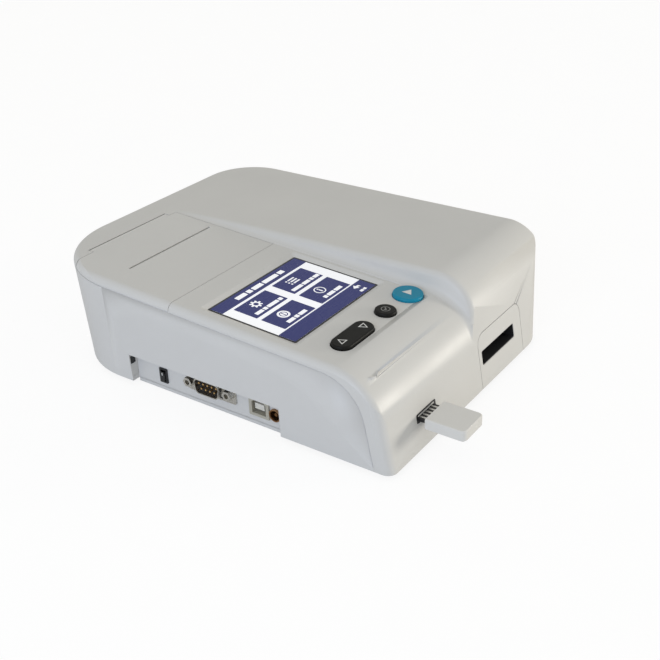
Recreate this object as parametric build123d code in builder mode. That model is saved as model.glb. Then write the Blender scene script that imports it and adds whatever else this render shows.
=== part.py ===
"""Bench-top rapid test reader: a flared two-part plastic case with a raised hood over the
test bay, a sloping panel with a screen and three keys, a ticket printer under a hinged lid,
a rack-driven test tray, an optical head and a row of sockets in the left wall.

X is the width (+X to the right of a person facing it), Y the depth (-Y is the front),
Z is up. The origin is on the table, under the middle of the reader with its code chip in.
"""
from build123d import *
from math import acos, atan, atan2, ceil, cos, degrees, hypot, pi, radians, sin, sqrt, tan
import os

os.makedirs("parts", exist_ok=True)

# ---------------------------------------------------------------- case: driving sizes
casing_width = 168.0          # across the bottom edge
casing_depth = 216.4          # front to rear along the bottom edge
casing_height = 58.5          # bottom edge to the flat top of the hood
foot_height = 2.5
wall = 2.5
floor_thickness = 2.5
side_flare = 0.039            # outward lean of the side and rear walls, per mm of height
front_lean = 0.17             # backward lean of the front face, per mm of height
panel_slope = 0.0585          # fall of the key panel towards the front, per mm
panel_from_rear = 20.4        # rear edge to where the panel starts to fall
rear_left_radius = 49.0
rear_right_radius = 30.0
front_left_radius = 5.0
front_right_radius = 28.0     # at the bottom edge
front_right_top_radius = 8.5  # at the height of the hood's top
top_rounding = 4.0            # rounded edge all round the top
waterfall_radius = 28.0       # bend from the panel down into the front face
hood_roll_radius = 22.4       # bend of the hood's top down to its front edge
hood_face_height = 43.9       # bottom edge to the crisp top edge of the hood's front face
hood_wall_inset = 82.0        # left side of the case to the foot of the hood's wall
hood_cove_radius = 4.5        # hollow at the foot of the hood's wall
hood_wall_lean = 13.0         # degrees from upright
hood_ridge_radius = 4.0       # soft ridge between the hood's wall and its top
seam_drop = 4.0               # seam below the top surface
seam_front_drop = 9.0         # seam behind the front face
seam_groove = 0.5
fit_gap = 0.25                # between a part and the opening it sits in
chip_reach = 22.4             # the code chip stands out this far past the bottom edge
touch = 0.1                   # running clearance of sliding faces

# ---------------------------------------------------------------- screen and keys
screen_width = 70.1
screen_height = 52.6
screen_inset_x = 7.3          # left side of the case to the screen
screen_setback = 81.5         # front of the case to the middle of the screen
screen_bevel = 2.7            # sloped frame round the screen
screen_sink = 1.2             # glass below the panel
glass_thickness = 1.1
glass_margin = 3.0
display_thickness = 3.4
key_setback = 36.6            # front of the case to the line of the keys
key_rise = 1.8                # key tops above the panel
key_flange = 1.0
key_flange_margin = 1.2
start_key_radius = 7.7
start_key_inset = 74.8        # left side of the case to the middle of each key
confirm_key_radius = 5.3
confirm_key_inset = 54.0
rocker_key_length = 27.5
rocker_key_width = 10.6
rocker_key_inset = 25.8
key_travel = 1.0
key_board_drop = 8.0          # panel surface down to the key board
board_thickness = 1.6
switch_height = 2.5           # small push switches on the key board
key_pivot_drop = 3.2          # panel surface down to the pivot of the rocker key
key_pivot_radius = 0.9

# ---------------------------------------------------------------- printer
slot_from_rear = 50.5         # rear edge to the paper slot
paper_slot_inset = 46.4       # left side of the case to the middle of the paper slot
paper_slot_length = 62.8
paper_slot_width = 1.3
lid_length = 70.0             # front edge of the lid to its rear cut
lid_from_rear = 21.9          # rear edge of the case to the rear cut of the lid
hinge_radius = 1.9
hinge_set = 2.5               # hinge axis behind the rear cut
pin_radius = 1.0
pin_clearance = 0.05
platen_radius = 5.0
platen_length = 58.0
platen_drop = 10.0            # platen axis below the panel surface
roll_radius = 16.0
roll_core_radius = 6.0
roll_ahead = 17.5             # roll axis in front of the platen axis
roll_height = 25.0            # roll axis above the floor
roll_width = 57.5

# ---------------------------------------------------------------- test bay
test_slot_x = 26.4            # foot of the hood's wall to the middle of the test slot
test_slot_width = 35.4
test_slot_height = 7.7
test_slot_level = 15.6        # bottom edge to the middle of the slot
cover_width = 46.5
cover_offset = 2.8            # middle of the port cover beside the middle of the slot
cover_top = 28.5              # bottom edge to the top of the port cover
cover_corner = 6.0
cover_thickness = 1.3
cover_gap = 0.35
tray_clearance = 0.7          # tray to slot
tray_length = 120.0
tray_parked = 9.0             # tray front behind the front face
tray_travel = 84.0
pocket_length = 71.0
pocket_width = 20.5
pocket_depth = 4.3
gear_module = 0.8
pinion_teeth = 18
pressure_angle = 20.0
rack_height = 3.4
backlash = 0.12
pinion_setback = 40.0         # front of the case to the axis of the drive pinion
pinion_width = 3.6
drive_shaft_radius = 1.5
motor_radius = 17.5
motor_height = 22.0

# ---------------------------------------------------------------- sockets on the left
port_depth = 5.0              # port plate behind the outer wall
port_front_setback = 61.6     # front of the case to the front end of the port opening
port_length = 96.6
port_top = 16.0               # bottom edge to the top of the opening
port_plate_thickness = 2.0
serial_setback = 106.8
serial_level = 11.53          # bottom edge to the middle of the serial socket
usb_setback = 77.2
usb_level = 9.0
jack_setback = 67.6
jack_level = 7.6
switch_setback = 139.4
switch_level = 7.1

# ---------------------------------------------------------------- code chip
chip_inset = 34.6             # left side of the case to the middle of the chip
chip_level = 15.0             # bottom edge to the middle of the chip body
chip_width = 18.4
chip_thickness = 5.6
chip_length = 20.5
chip_corner = 2.6
tongue_width = 14.4
tongue_thickness = 1.6
tongue_length = 20.0
chip_slot_gap = 0.4

# ---------------------------------------------------------------- fixings inside
boss_radius = 4.5
screw_radius = 1.6
screw_head_radius = 2.9
foot_radius = 6.0
foot_recess = 0.8
lip_width = 1.2               # inner lip of the seam
lid_gap = 0.3
running_fit = 0.08            # radial play of turning parts
small_boss_radius = 3.2
small_screw_radius = 1.25

# ---------------------------------------------------------------- derived places
top_z = foot_height + casing_height
floor_top = foot_height + floor_thickness
front_y = -(casing_depth + side_flare * (casing_height - top_rounding) - chip_reach) / 2
rear_y = front_y + casing_depth
panel_start_y = rear_y - panel_from_rear
left_x = -casing_width / 2
hood_foot_x = left_x + hood_wall_inset
lean_length = hypot(1, front_lean)
slope_length = hypot(1, panel_slope)
slope_angle = degrees(atan(panel_slope))
reach = casing_width + casing_depth        # longer than anything in the case
key_y = front_y + key_setback
start_x = left_x + start_key_inset
confirm_x = left_x + confirm_key_inset
rocker_x = left_x + rocker_key_inset
screen_x = left_x + screen_inset_x + screen_width / 2
screen_y = front_y + screen_setback
lid_right = hood_foot_x - 0.6
lid_rear_y = rear_y - lid_from_rear
lid_front_y = lid_rear_y - lid_length
hinge_y = lid_rear_y + hinge_set
hinge_z = top_z - hinge_radius
barrel_left = lid_right - 63.4
barrel_right = lid_right - 5.4
paper_slot_x = left_x + paper_slot_inset
paper_slot_y = rear_y - slot_from_rear
slot_x = hood_foot_x + test_slot_x
slot_z = foot_height + test_slot_level
cover_x = slot_x + cover_offset
chip_x = left_x + chip_inset
chip_z = foot_height + chip_level
chip_y = front_y - chip_reach              # outer end of the chip
port_front_y = front_y + port_front_setback
port_rear_y = port_front_y + port_length
port_ceiling = port_top + foot_height + 3.0
serial_y = front_y + serial_setback
serial_z = foot_height + serial_level
usb_y = front_y + usb_setback
usb_z = foot_height + usb_level
jack_y = front_y + jack_setback
jack_z = foot_height + jack_level
switch_y = front_y + switch_setback
switch_z = foot_height + switch_level


def panel_z(y):
    """Height of the sloping panel's surface at y."""
    return top_z - panel_slope * (panel_start_y - y)


def front_face_y(z):
    """Place of the leaning front face at height z."""
    return front_y + front_lean * (z - foot_height)


def side_x(z):
    """Half width of the case at height z."""
    return casing_width / 2 + side_flare * (z - foot_height)


plate_x = -side_x(foot_height + port_top / 2) + port_depth


def panel_plane(x, y, depth=0.0):
    """Plane on the sloping panel, depth below its surface."""
    normal = Vector(0, -panel_slope, 1).normalized()
    return Plane(origin=Vector(x, y, panel_z(y)) - normal * depth, x_dir=(1, 0, 0), z_dir=normal)


def face_plane(x, level, depth=0.0):
    """Plane on the leaning front face, level above the bottom edge, depth behind it."""
    normal = Vector(0, -1, front_lean).normalized()
    z = foot_height + level
    start = Vector(x, front_face_y(z), z)
    return Plane(origin=start - normal * depth, x_dir=(1, 0, 0), z_dir=normal)


def bend_corner(top_inset, front_inset):
    """Where the panel and the front face would meet, both moved inwards."""
    run = front_y + front_inset * lean_length - front_lean * foot_height
    z = top_z - panel_slope * panel_start_y - top_inset * slope_length + panel_slope * run
    z = z / (1 - panel_slope * front_lean)
    return run + front_lean * z, z


def bend_points(top_inset, front_inset, low_z=-10.0):
    """Panel line, bend corner and front line as (y, z) points, rear to front."""
    corner_y, corner_z = bend_corner(top_inset, front_inset)
    start_y = rear_y + 30
    start_z = panel_z(start_y) - top_inset * slope_length
    low_y = front_face_y(low_z) + front_inset * lean_length
    return [(start_y, start_z), (corner_y, corner_z), (low_y, low_z)]


def outline(z, inset):
    """Plan outline of the case at height z, moved inwards by inset."""
    half = side_x(z) - inset
    near = front_face_y(z) + inset * lean_length
    far = rear_y + side_flare * (z - foot_height) - inset
    tighten = (front_right_radius - front_right_top_radius) * (z - foot_height) / casing_height
    corners = [
        ((-half, near), front_left_radius),
        ((half, near), front_right_radius - tighten),
        ((half, far), rear_right_radius),
        ((-half, far), rear_left_radius),
    ]
    with BuildSketch(Plane.XY.offset(z)) as plan:
        with BuildLine():
            Polyline(*[point for point, radius in corners], close=True)
        make_face()
        for (x, y), radius in corners:
            fillet(plan.vertices().sort_by_distance((x, y, 0))[0], radius - inset)
    return plan.sketch


def side_region(top_inset, front_inset, radius):
    """Region under the panel line and behind the front line, seen from the side."""
    start, corner, low = bend_points(top_inset, front_inset)
    flat_z = top_z - top_inset
    flat_y = panel_start_y + top_inset * (slope_length - 1) / panel_slope
    with BuildSketch() as region:
        with BuildLine():
            Polyline((start[0], flat_z), (flat_y, flat_z), corner, low, (start[0], low[1]),
                     close=True)
        make_face()
        knee = region.vertices().sort_by_distance((corner[0], corner[1], 0))[0]
        fillet(knee, radius)
    return region.sketch


def hood_form(inset):
    """The raised hood without its outer sides: its side view and its coved left wall."""
    edge_z = foot_height + hood_face_height
    centre_z = top_z - hood_roll_radius
    centre_y = front_face_y(edge_z) + sqrt(hood_roll_radius ** 2 - (edge_z - centre_z) ** 2)
    radius = hood_roll_radius - inset
    with BuildLine(Plane.YZ) as spine:
        FilletPolyline(*bend_points(inset, inset), radius=waterfall_radius - inset)
    start = spine.line @ 0
    section_plane = Plane(origin=start, x_dir=(1, 0, 0), z_dir=spine.line % 0)
    cove = hood_cove_radius + inset
    turn = 90 - hood_wall_lean
    high = 18 + inset
    with BuildPart() as form:
        with BuildSketch(section_plane) as layer:
            with BuildLine():
                foot = Line((hood_foot_x, -3), (hood_foot_x, 0))
                bend = CenterArc((hood_foot_x, cove), cove, -90, turn)
                tip = bend @ 1
                rise = Line(tip, (tip.X + (high - tip.Y) * tan(radians(hood_wall_lean)), high))
                Polyline(rise @ 1, (reach, high), (reach, -3), foot @ 0)
            make_face()
        sweep(path=spine.line)
        add(hood_profile(centre_y, centre_z, radius, inset), mode=Mode.INTERSECT)
        if inset == 0:
            beside = (hood_foot_x + hood_cove_radius, centre_y + hood_cove_radius, top_z)
            ridge = form.edges().filter_by(lambda edge: edge.center().Z > top_z - 1)
            fillet(ridge.sort_by_distance(beside)[0], hood_ridge_radius)
    return form.part


def hood_profile(centre_y, centre_z, radius, inset):
    """Side view of the hood as a wide block, its right end rounded over."""
    far = rear_y + 30
    right_end = side_x(top_z) - inset
    with BuildPart() as block:
        with BuildSketch(Plane.YZ.offset(-reach)):
            with BuildLine():
                top_line = Line((far, top_z - inset), (centre_y, top_z - inset))
                roll = CenterArc((centre_y, centre_z), radius, 90, 90)
                Polyline(roll @ 1, (centre_y - radius, -10), (far, -10), top_line @ 0)
            make_face()
        extrude(amount=reach + right_end)
        if inset == 0:
            end_face = block.faces().sort_by(Axis.X)[-1]
            rim = end_face.edges().filter_by(lambda edge: edge.center().Z > 5)
            fillet(rim.filter_by(lambda edge: edge.center().Y < far - 1), top_rounding)
        with BuildSketch(Plane.YZ.offset(-reach)):
            with BuildLine():
                Polyline((front_y - 20, -10), (front_y - 20, centre_z), (far - 1, centre_z),
                         (far - 1, -10), close=True)
            make_face()
        extrude(amount=2 * reach)
    return block.part


def panel_block(inset):
    """Side view of the panel and its bend as a wide block, its left end rounded over."""
    left_end = side_x(panel_z(0)) - inset
    with BuildPart() as block:
        with BuildSketch(Plane.YZ.offset(-left_end)):
            add(side_region(inset, inset, waterfall_radius - inset))
        extrude(amount=left_end + reach)
        if inset == 0:
            end_face = block.faces().sort_by(Axis.X)[0]
            rim = end_face.edges().filter_by(lambda edge: edge.center().Z > -5)
            fillet(rim.filter_by(lambda edge: edge.center().Y < rear_y + 25), top_rounding)
    return block.part


def outline_block(inset, low_z):
    """The flared outline up to the flat top, its rim rounded over."""
    with BuildPart() as block:
        loft([outline(low_z, inset), outline(top_z - inset, inset)], ruled=True)
        if inset == 0:
            fillet(block.faces().sort_by(Axis.Z)[-1].edges(), top_rounding)
    return block.part


def case_form(inset, low_z):
    """The whole outer or inner form of the case, cut off at low_z."""
    with BuildPart() as form:
        add(panel_block(inset))
        add(hood_form(inset))
        add(outline_block(inset, low_z), mode=Mode.INTERSECT)
    return form.part


def slab(x_range, y_range, z_range, mode=Mode.ADD):
    """Block between two places along each axis."""
    centre = [(low + high) / 2 for low, high in (x_range, y_range, z_range)]
    size = [high - low for low, high in (x_range, y_range, z_range)]
    with Locations(tuple(centre)):
        Box(*size, mode=mode)


def post(x, y, z_range, radius, mode=Mode.ADD):
    """Upright round bar or hole."""
    with Locations((x, y, (z_range[0] + z_range[1]) / 2)):
        Cylinder(radius, z_range[1] - z_range[0], mode=mode)


def rod(x_range, y, z, radius, mode=Mode.ADD):
    """Round bar or hole along X."""
    with Locations(((x_range[0] + x_range[1]) / 2, y, z)):
        Cylinder(radius, x_range[1] - x_range[0], rotation=(0, 90, 0), mode=mode)


def seam_block(drop, front_drop):
    """Everything below and behind the seam, moved inwards from the surface."""
    with BuildPart() as block:
        with BuildSketch(Plane.YZ.offset(-reach)):
            add(side_region(drop, front_drop, waterfall_radius - drop))
        extrude(amount=2 * reach)
    return block.part


def ring_block(near_inset, far_inset, low_z, high_z):
    """Wall between two insets of the case outline."""
    with BuildPart() as ring:
        loft([outline(low_z, near_inset), outline(high_z, near_inset)], ruled=True)
        loft([outline(low_z, far_inset), outline(high_z, far_inset)], ruled=True,
             mode=Mode.SUBTRACT)
    return ring.part


def gear_points(module, teeth, turn, steps, play=0.0):
    """Corner points of a gear: involute flanks in steps, straight tips and roots."""
    pitch_radius = module * teeth / 2
    base_radius = pitch_radius * cos(radians(pressure_angle))
    root_radius = pitch_radius - 1.25 * module
    tip_radius = pitch_radius + module
    start_radius = max(base_radius, root_radius)
    flank_radii = [start_radius + (tip_radius - start_radius) * n / steps for n in range(steps + 1)]
    opened = tan(radians(pressure_angle)) - radians(pressure_angle)
    half = pi / (2 * teeth) + opened - play / (2 * pitch_radius)
    flank = [(root_radius, half)]
    for radius in flank_radii:
        angle = acos(min(1.0, base_radius / radius))
        flank.append((radius, half - (tan(angle) - angle)))
    points = []
    for tooth in range(teeth):
        centre = radians(turn) + 2 * pi * tooth / teeth
        points += [(r * cos(centre - a), r * sin(centre - a)) for r, a in flank]
        points += [(r * cos(centre + a), r * sin(centre + a)) for r, a in reversed(flank)]
    return points


# ================================================================ the case
outer = case_form(0, foot_height)
inner = case_form(wall, floor_top)
screw_places = [(-74.0, -80.0, 46.5), (72.0, -66.0, 59.5), (70.0, 96.0, 59.5), (-36.0, 107.0, 59.5)]
foot_places = [(-60.0, -76.0), (60.0, -74.0), (60.0, 82.0), (-52.0, 84.0)]
screw_seat_z = 16.0                        # under side of the case screw heads' seat
joint_z = 20.0                             # where the upper posts stand on the lower ones
board_places = [(-64.0, -62.0), (-10.0, -62.0), (-64.0, 16.0), (-10.0, 16.0)]
board_z = 10.0
tray_places = [(0.5, -80.0), (48.3, -80.0), (0.5, 34.0), (48.3, 34.0)]
base_z = 12.6
printer_places = [(-67.0, 31.0), (-8.5, 31.0), (-67.0, 76.0), (-8.5, 76.0)]
printer_z = 9.0

with BuildPart() as shell:
    add(outer)
    add(inner, mode=Mode.SUBTRACT)

lid_side = (-reach, lid_right)
no_lip = ((-reach, 0), (lid_front_y - 2, lid_rear_y + 6), (0, reach))

with BuildPart() as seam_lip:
    add(ring_block(wall + fit_gap, wall + fit_gap + lip_width, floor_top, top_z))
    add(seam_block(seam_drop - 1, seam_front_drop - 1), mode=Mode.INTERSECT)
    add(seam_block(seam_drop + 2, seam_front_drop + 2), mode=Mode.SUBTRACT)
    slab(*no_lip, mode=Mode.SUBTRACT)

with BuildPart() as lip_root:
    add(ring_block(wall - 0.1, wall + fit_gap + lip_width, floor_top, top_z))
    add(seam_block(seam_drop + 0.1, seam_front_drop + 0.1), mode=Mode.INTERSECT)
    add(seam_block(seam_drop + 2, seam_front_drop + 2), mode=Mode.SUBTRACT)
    slab(*no_lip, mode=Mode.SUBTRACT)

with BuildPart() as seam_line:
    add(ring_block(-5, seam_groove, floor_top, top_z))
    add(seam_block(seam_drop, seam_front_drop), mode=Mode.INTERSECT)
    add(seam_block(seam_drop + seam_groove, seam_front_drop + seam_groove), mode=Mode.SUBTRACT)

with BuildPart() as lower_casing:
    add(shell.part)
    add(seam_block(seam_drop, seam_front_drop), mode=Mode.INTERSECT)
    loft([outline(foot_height, wall), outline(floor_top, wall)], ruled=True)
    add(lip_root.part)
    add(seam_lip.part)
    add(seam_line.part, mode=Mode.SUBTRACT)
    # bay for the sockets: ceiling and end walls behind the opening
    slab((-side_x(0) + 1, plate_x + port_plate_thickness),
         (port_front_y - 1.5, port_rear_y + 1.5), (floor_top - 0.5, port_ceiling + 1.5))
    slab((-side_x(0) + wall - 0.3, 0), (port_front_y, port_rear_y), (floor_top, port_ceiling),
         mode=Mode.SUBTRACT)
    slab((-reach, 0), (port_front_y, port_rear_y), (floor_top, port_top + foot_height),
         mode=Mode.SUBTRACT)
    # pillars for the case screws
    for x, y, high in screw_places:
        post(x, y, (floor_top - 0.5, joint_z), boss_radius)
        post(x, y, (0, screw_seat_z), screw_head_radius + 0.4, mode=Mode.SUBTRACT)
        post(x, y, (screw_seat_z - 1, joint_z + 1), screw_radius + 0.2, mode=Mode.SUBTRACT)
    for x, y in foot_places:
        post(x, y, (foot_height, foot_height + foot_recess), foot_radius, mode=Mode.SUBTRACT)
    # small pillars for the boards, the tray base and the printer
    for places, high in ((board_places, board_z), (tray_places, base_z),
                         (printer_places, printer_z)):
        for x, y in places:
            post(x, y, (floor_top - 0.5, high), small_boss_radius)
            post(x, y, (floor_top + 0.2, high + 1), small_screw_radius, mode=Mode.SUBTRACT)

# ---- the cover over it, first with the lid still in
with BuildPart() as cover_shell:
    add(shell.part)
    add(seam_block(seam_drop, seam_front_drop), mode=Mode.SUBTRACT)
    loft([outline(foot_height - 1, wall), outline(floor_top, wall)], ruled=True,
         mode=Mode.SUBTRACT)

key_spots = [(start_x, start_key_radius), (confirm_x, confirm_key_radius)]
rocker_gap = 0.45
board_posts = [(rocker_x - 18.3, 2.0), (rocker_x + 18.2, 2.0), (start_x - 11.6, 1.7)]

with BuildPart() as upper_cover:
    add(cover_shell.part)
    slab((-reach, lid_right + lid_gap), (lid_front_y, lid_rear_y), (0, reach),
         mode=Mode.SUBTRACT)
    # hinge: a slot for the lid's barrel and an ear at each end of it
    slab((barrel_left - 6, barrel_left - 0.4), (lid_rear_y + 0.5, hinge_y + 2.6),
         (hinge_z - 2.6, top_z - 1))
    slab((barrel_right + 0.4, lid_right - 0.4), (lid_rear_y + 0.5, hinge_y + 2.6),
         (hinge_z - 2.6, top_z - 1))
    slab((barrel_left - 0.4, barrel_right + 0.4), (lid_rear_y - 1, hinge_y + hinge_radius + 0.4),
         (hinge_z - 4, reach), mode=Mode.SUBTRACT)
    rod((barrel_left - 5, barrel_right + 4), hinge_y, hinge_z, pin_radius, mode=Mode.SUBTRACT)
    # screen opening with its sloped frame, and the seat of the glass
    with BuildSketch(panel_plane(screen_x, screen_y, -touch)):
        RectangleRounded(screen_width + 2 * screen_bevel + 0.4,
                         screen_height + 2 * screen_bevel + 0.4, 2.2)
    with BuildSketch(panel_plane(screen_x, screen_y, screen_sink)):
        RectangleRounded(screen_width, screen_height, 0.8)
    loft(ruled=True, mode=Mode.SUBTRACT)
    with BuildSketch(panel_plane(screen_x, screen_y, screen_sink)):
        Rectangle(screen_width + 2 * glass_margin, screen_height + 2 * glass_margin)
    extrude(amount=-wall, mode=Mode.SUBTRACT)
    # key openings
    for x, radius in key_spots:
        with BuildSketch(panel_plane(x, key_y, -1)):
            Circle(radius + 0.3)
        extrude(amount=-wall - 3, mode=Mode.SUBTRACT)
        with BuildSketch(panel_plane(x, key_y, wall)):
            Circle(radius + key_flange_margin + 0.3)
        extrude(amount=-3, mode=Mode.SUBTRACT)
    with BuildSketch(panel_plane(rocker_x, key_y, -1)):
        SlotOverall(rocker_key_length + 2 * rocker_gap, rocker_key_width + 2 * rocker_gap)
    extrude(amount=-wall - 3, mode=Mode.SUBTRACT)
    # ears for the rocker key's pivot
    for side in (-1, 1):
        with BuildSketch(panel_plane(rocker_x, key_y, wall - 0.4)):
            with Locations((0, side * (rocker_key_width / 2 + rocker_gap + 1.2))):
                Rectangle(5, 2.2)
        extrude(amount=-2.8)
    with BuildSketch(Plane(origin=panel_plane(rocker_x, key_y, key_pivot_drop).origin,
                           x_dir=(1, 0, 0), z_dir=(0, slope_length, panel_slope))):
        Circle(key_pivot_radius + running_fit)
    extrude(amount=rocker_key_width / 2 + 2.3, both=True, mode=Mode.SUBTRACT)
    # posts for the key board and for the case screws
    for x, radius in board_posts:
        with BuildSketch(panel_plane(x, key_y, wall - 0.4)):
            Circle(radius)
        extrude(amount=-(key_board_drop - wall + 0.4))
        with BuildSketch(panel_plane(x, key_y, key_board_drop)):
            Circle(0.9)
        extrude(amount=key_board_drop - wall - 1, mode=Mode.SUBTRACT)
    for x, y, high in screw_places:
        post(x, y, (joint_z, high), boss_radius - 0.3)
        post(x, y, (joint_z - 1, joint_z + 12), screw_radius, mode=Mode.SUBTRACT)
    # front: test slot, seat of the port cover, slot of the code chip
    with BuildSketch(face_plane(cover_x, 0)):
        with Locations((0, (cover_top - 10) * lean_length / 2)):
            RectangleRounded(cover_width + 2 * cover_gap, (cover_top + 10) * lean_length + 2 * cover_gap,
                             cover_corner + cover_gap)
    extrude(amount=-cover_thickness, mode=Mode.SUBTRACT)
    with BuildSketch(Plane.XZ.offset(-front_y - 40)):
        with Locations((slot_x, slot_z)):
            RectangleRounded(test_slot_width, test_slot_height, 1.0)
    extrude(amount=80, mode=Mode.SUBTRACT)
    slab((chip_x - tongue_width / 2 - chip_slot_gap, chip_x + tongue_width / 2 + chip_slot_gap),
         (front_y - 5, front_y + 12),
         (chip_z - tongue_thickness / 2 - chip_slot_gap, chip_z + tongue_thickness / 2 + chip_slot_gap),
         mode=Mode.SUBTRACT)

# ---- printer lid; its rear edge is undercut round the hinge, to swing clear of the cover
web_top = panel_z(lid_rear_y) - 0.1
lid_swing_radius = hypot(hinge_set, top_z - hinge_z) + lid_gap / 2
with BuildPart() as printer_lid:
    add(cover_shell.part)
    slab(lid_side, (lid_front_y + lid_gap, lid_rear_y - lid_gap), (0, reach), mode=Mode.INTERSECT)
    add(seam_block(seam_drop - lid_gap, seam_front_drop), mode=Mode.SUBTRACT)
    rod((-reach, reach), hinge_y, hinge_z, lid_swing_radius, mode=Mode.SUBTRACT)
    slab((barrel_left, barrel_right), (lid_rear_y - 2, hinge_y), (hinge_z - 0.6, web_top))
    rod((barrel_left, barrel_right), hinge_y, hinge_z, hinge_radius)
    rod((barrel_left - 1, barrel_right + 1), hinge_y, hinge_z, pin_radius + pin_clearance,
        mode=Mode.SUBTRACT)
    # lips that guide the paper, then the slot
    slab((paper_slot_x - 33, paper_slot_x + 33), (paper_slot_y - 2.2, paper_slot_y + 2.2),
         (panel_z(paper_slot_y) - wall - 1.6, panel_z(paper_slot_y) - wall + 0.5))
    slab((paper_slot_x - paper_slot_length / 2, paper_slot_x + paper_slot_length / 2),
         (paper_slot_y - paper_slot_width / 2, paper_slot_y + paper_slot_width / 2), (40, reach),
         mode=Mode.SUBTRACT)
    # stiffening ribs
    for y in (lid_front_y + 6, lid_front_y + 24):
        slab((paper_slot_x - 33, paper_slot_x + 33), (y, y + 1.4),
             (panel_z(y) - wall - 1.6, panel_z(y) - wall + 0.5))

with BuildPart() as lid_hinge_pin:
    rod((barrel_left - 4.9, barrel_right + 3.9), hinge_y, hinge_z, pin_radius)
    chamfer(lid_hinge_pin.edges().filter_by(GeomType.CIRCLE), 0.25)

with BuildPart() as port_cover:
    with BuildSketch(face_plane(cover_x, 0)):
        with Locations((0, (cover_top - 10) * lean_length / 2)):
            RectangleRounded(cover_width, (cover_top + 10) * lean_length, cover_corner)
    extrude(amount=-cover_thickness)
    slab((-reach, reach), (-reach, reach), (foot_height, reach), mode=Mode.INTERSECT)
    with BuildSketch(Plane.XZ.offset(-front_y - 40)):
        with Locations((slot_x, slot_z)):
            RectangleRounded(test_slot_width, test_slot_height, 1.0)
    extrude(amount=80, mode=Mode.SUBTRACT)

with BuildPart() as rubber_feet:
    for x, y in foot_places:
        post(x, y, (0, foot_height + foot_recess), foot_radius)
    chamfer(rubber_feet.faces().filter_by(Axis.Z).group_by(Axis.Z)[0].edges(), 0.6)

with BuildPart() as casing_screws:
    for x, y, high in screw_places:
        post(x, y, (screw_seat_z - 2.4, screw_seat_z), screw_head_radius)
        post(x, y, (screw_seat_z, joint_z + 11), screw_radius)
        with BuildSketch(Plane.XY.offset(screw_seat_z - 2.4)):
            with Locations((x, y)):
                Rectangle(3.2, 0.7)
                Rectangle(0.7, 3.2)
        extrude(amount=1.2, mode=Mode.SUBTRACT)

# ================================================================ screen and keys
with BuildPart() as touch_panel:
    with BuildSketch(panel_plane(screen_x, screen_y, screen_sink)):
        RectangleRounded(screen_width + 2 * glass_margin - 0.4,
                         screen_height + 2 * glass_margin - 0.4, 1.0)
    extrude(amount=-glass_thickness)

display_top = screen_sink + glass_thickness
with BuildPart() as display_module:
    with BuildSketch(panel_plane(screen_x, screen_y, display_top)):
        Rectangle(screen_width + 1.9, screen_height + 2.4)
    extrude(amount=-display_thickness)

bracket_top = display_top + display_thickness
with BuildPart() as display_bracket:
    with BuildSketch(panel_plane(screen_x, screen_y, bracket_top)):
        Rectangle(screen_width + 7.9, screen_height + 5.4)
        Rectangle(screen_width - 10, screen_height - 10, mode=Mode.SUBTRACT)
    extrude(amount=-1.5)
    with BuildSketch(panel_plane(screen_x, screen_y, bracket_top)):
        with GridLocations(screen_width + 5.9, screen_height - 8, 2, 2):
            Rectangle(2, 7)
    extrude(amount=bracket_top - wall)

flange_top = wall + touch / 2
stem_bottom = key_board_drop - switch_height - key_travel - touch
with BuildPart() as start_key:
    with BuildSketch(panel_plane(start_x, key_y, flange_top + key_flange)):
        Circle(start_key_radius)
    extrude(amount=flange_top + key_flange + key_rise)
    fillet(start_key.faces().sort_by(Axis.Z)[-1].edges(), 1.0)
    with BuildSketch(panel_plane(start_x, key_y, flange_top)):
        Circle(start_key_radius + key_flange_margin)
    extrude(amount=-key_flange)
    with BuildSketch(panel_plane(start_x, key_y, flange_top)):
        Circle(2.5)
    extrude(amount=-(stem_bottom - flange_top))

with BuildPart() as confirm_key:
    with BuildSketch(panel_plane(confirm_x, key_y, flange_top + key_flange)):
        Circle(confirm_key_radius)
    extrude(amount=flange_top + key_flange + key_rise)
    fillet(confirm_key.faces().sort_by(Axis.Z)[-1].edges(), 0.8)
    with BuildSketch(panel_plane(confirm_x, key_y, flange_top)):
        Circle(confirm_key_radius + key_flange_margin)
    extrude(amount=-key_flange)
    with BuildSketch(panel_plane(confirm_x, key_y, flange_top)):
        Circle(2.0)
    extrude(amount=-(stem_bottom - flange_top))

rocker_pivot = panel_plane(rocker_x, key_y, key_pivot_drop).origin
pivot_plane = Plane(origin=rocker_pivot, x_dir=(1, 0, 0), z_dir=(0, slope_length, panel_slope))
with BuildPart() as rocker_key:
    with BuildSketch(panel_plane(rocker_x, key_y, key_pivot_drop + 0.8)):
        SlotOverall(rocker_key_length, rocker_key_width)
    extrude(amount=key_pivot_drop + 0.8 + key_rise)
    fillet(rocker_key.faces().sort_by(Axis.Z)[-1].edges(), 0.8)
    with BuildSketch(panel_plane(rocker_x, key_y, key_pivot_drop)):
        with GridLocations(18, 1, 2, 1):
            Circle(1.8)
    extrude(amount=-1.6)
    with BuildSketch(pivot_plane):
        Circle(key_pivot_radius)
    extrude(amount=rocker_key_width / 2 + rocker_gap + 1.7, both=True)

board_centre = (board_posts[0][0] + start_x + start_key_radius) / 2
with BuildPart() as key_board:
    with BuildSketch(panel_plane(board_centre, key_y, key_board_drop)):
        Rectangle(start_x + start_key_radius - board_posts[0][0] + 5, 20)
        with Locations(*[(x - board_centre, 0) for x, radius in board_posts]):
            Circle(0.9, mode=Mode.SUBTRACT)
    extrude(amount=-board_thickness)

with BuildPart() as key_board_screws:
    for x, radius in board_posts:
        with BuildSketch(panel_plane(x, key_y, key_board_drop + board_thickness)):
            Circle(1.7)
        extrude(amount=-1.2)
        with BuildSketch(panel_plane(x, key_y, key_board_drop + board_thickness)):
            Circle(0.9)
        extrude(amount=board_thickness + 3.5)

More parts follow.
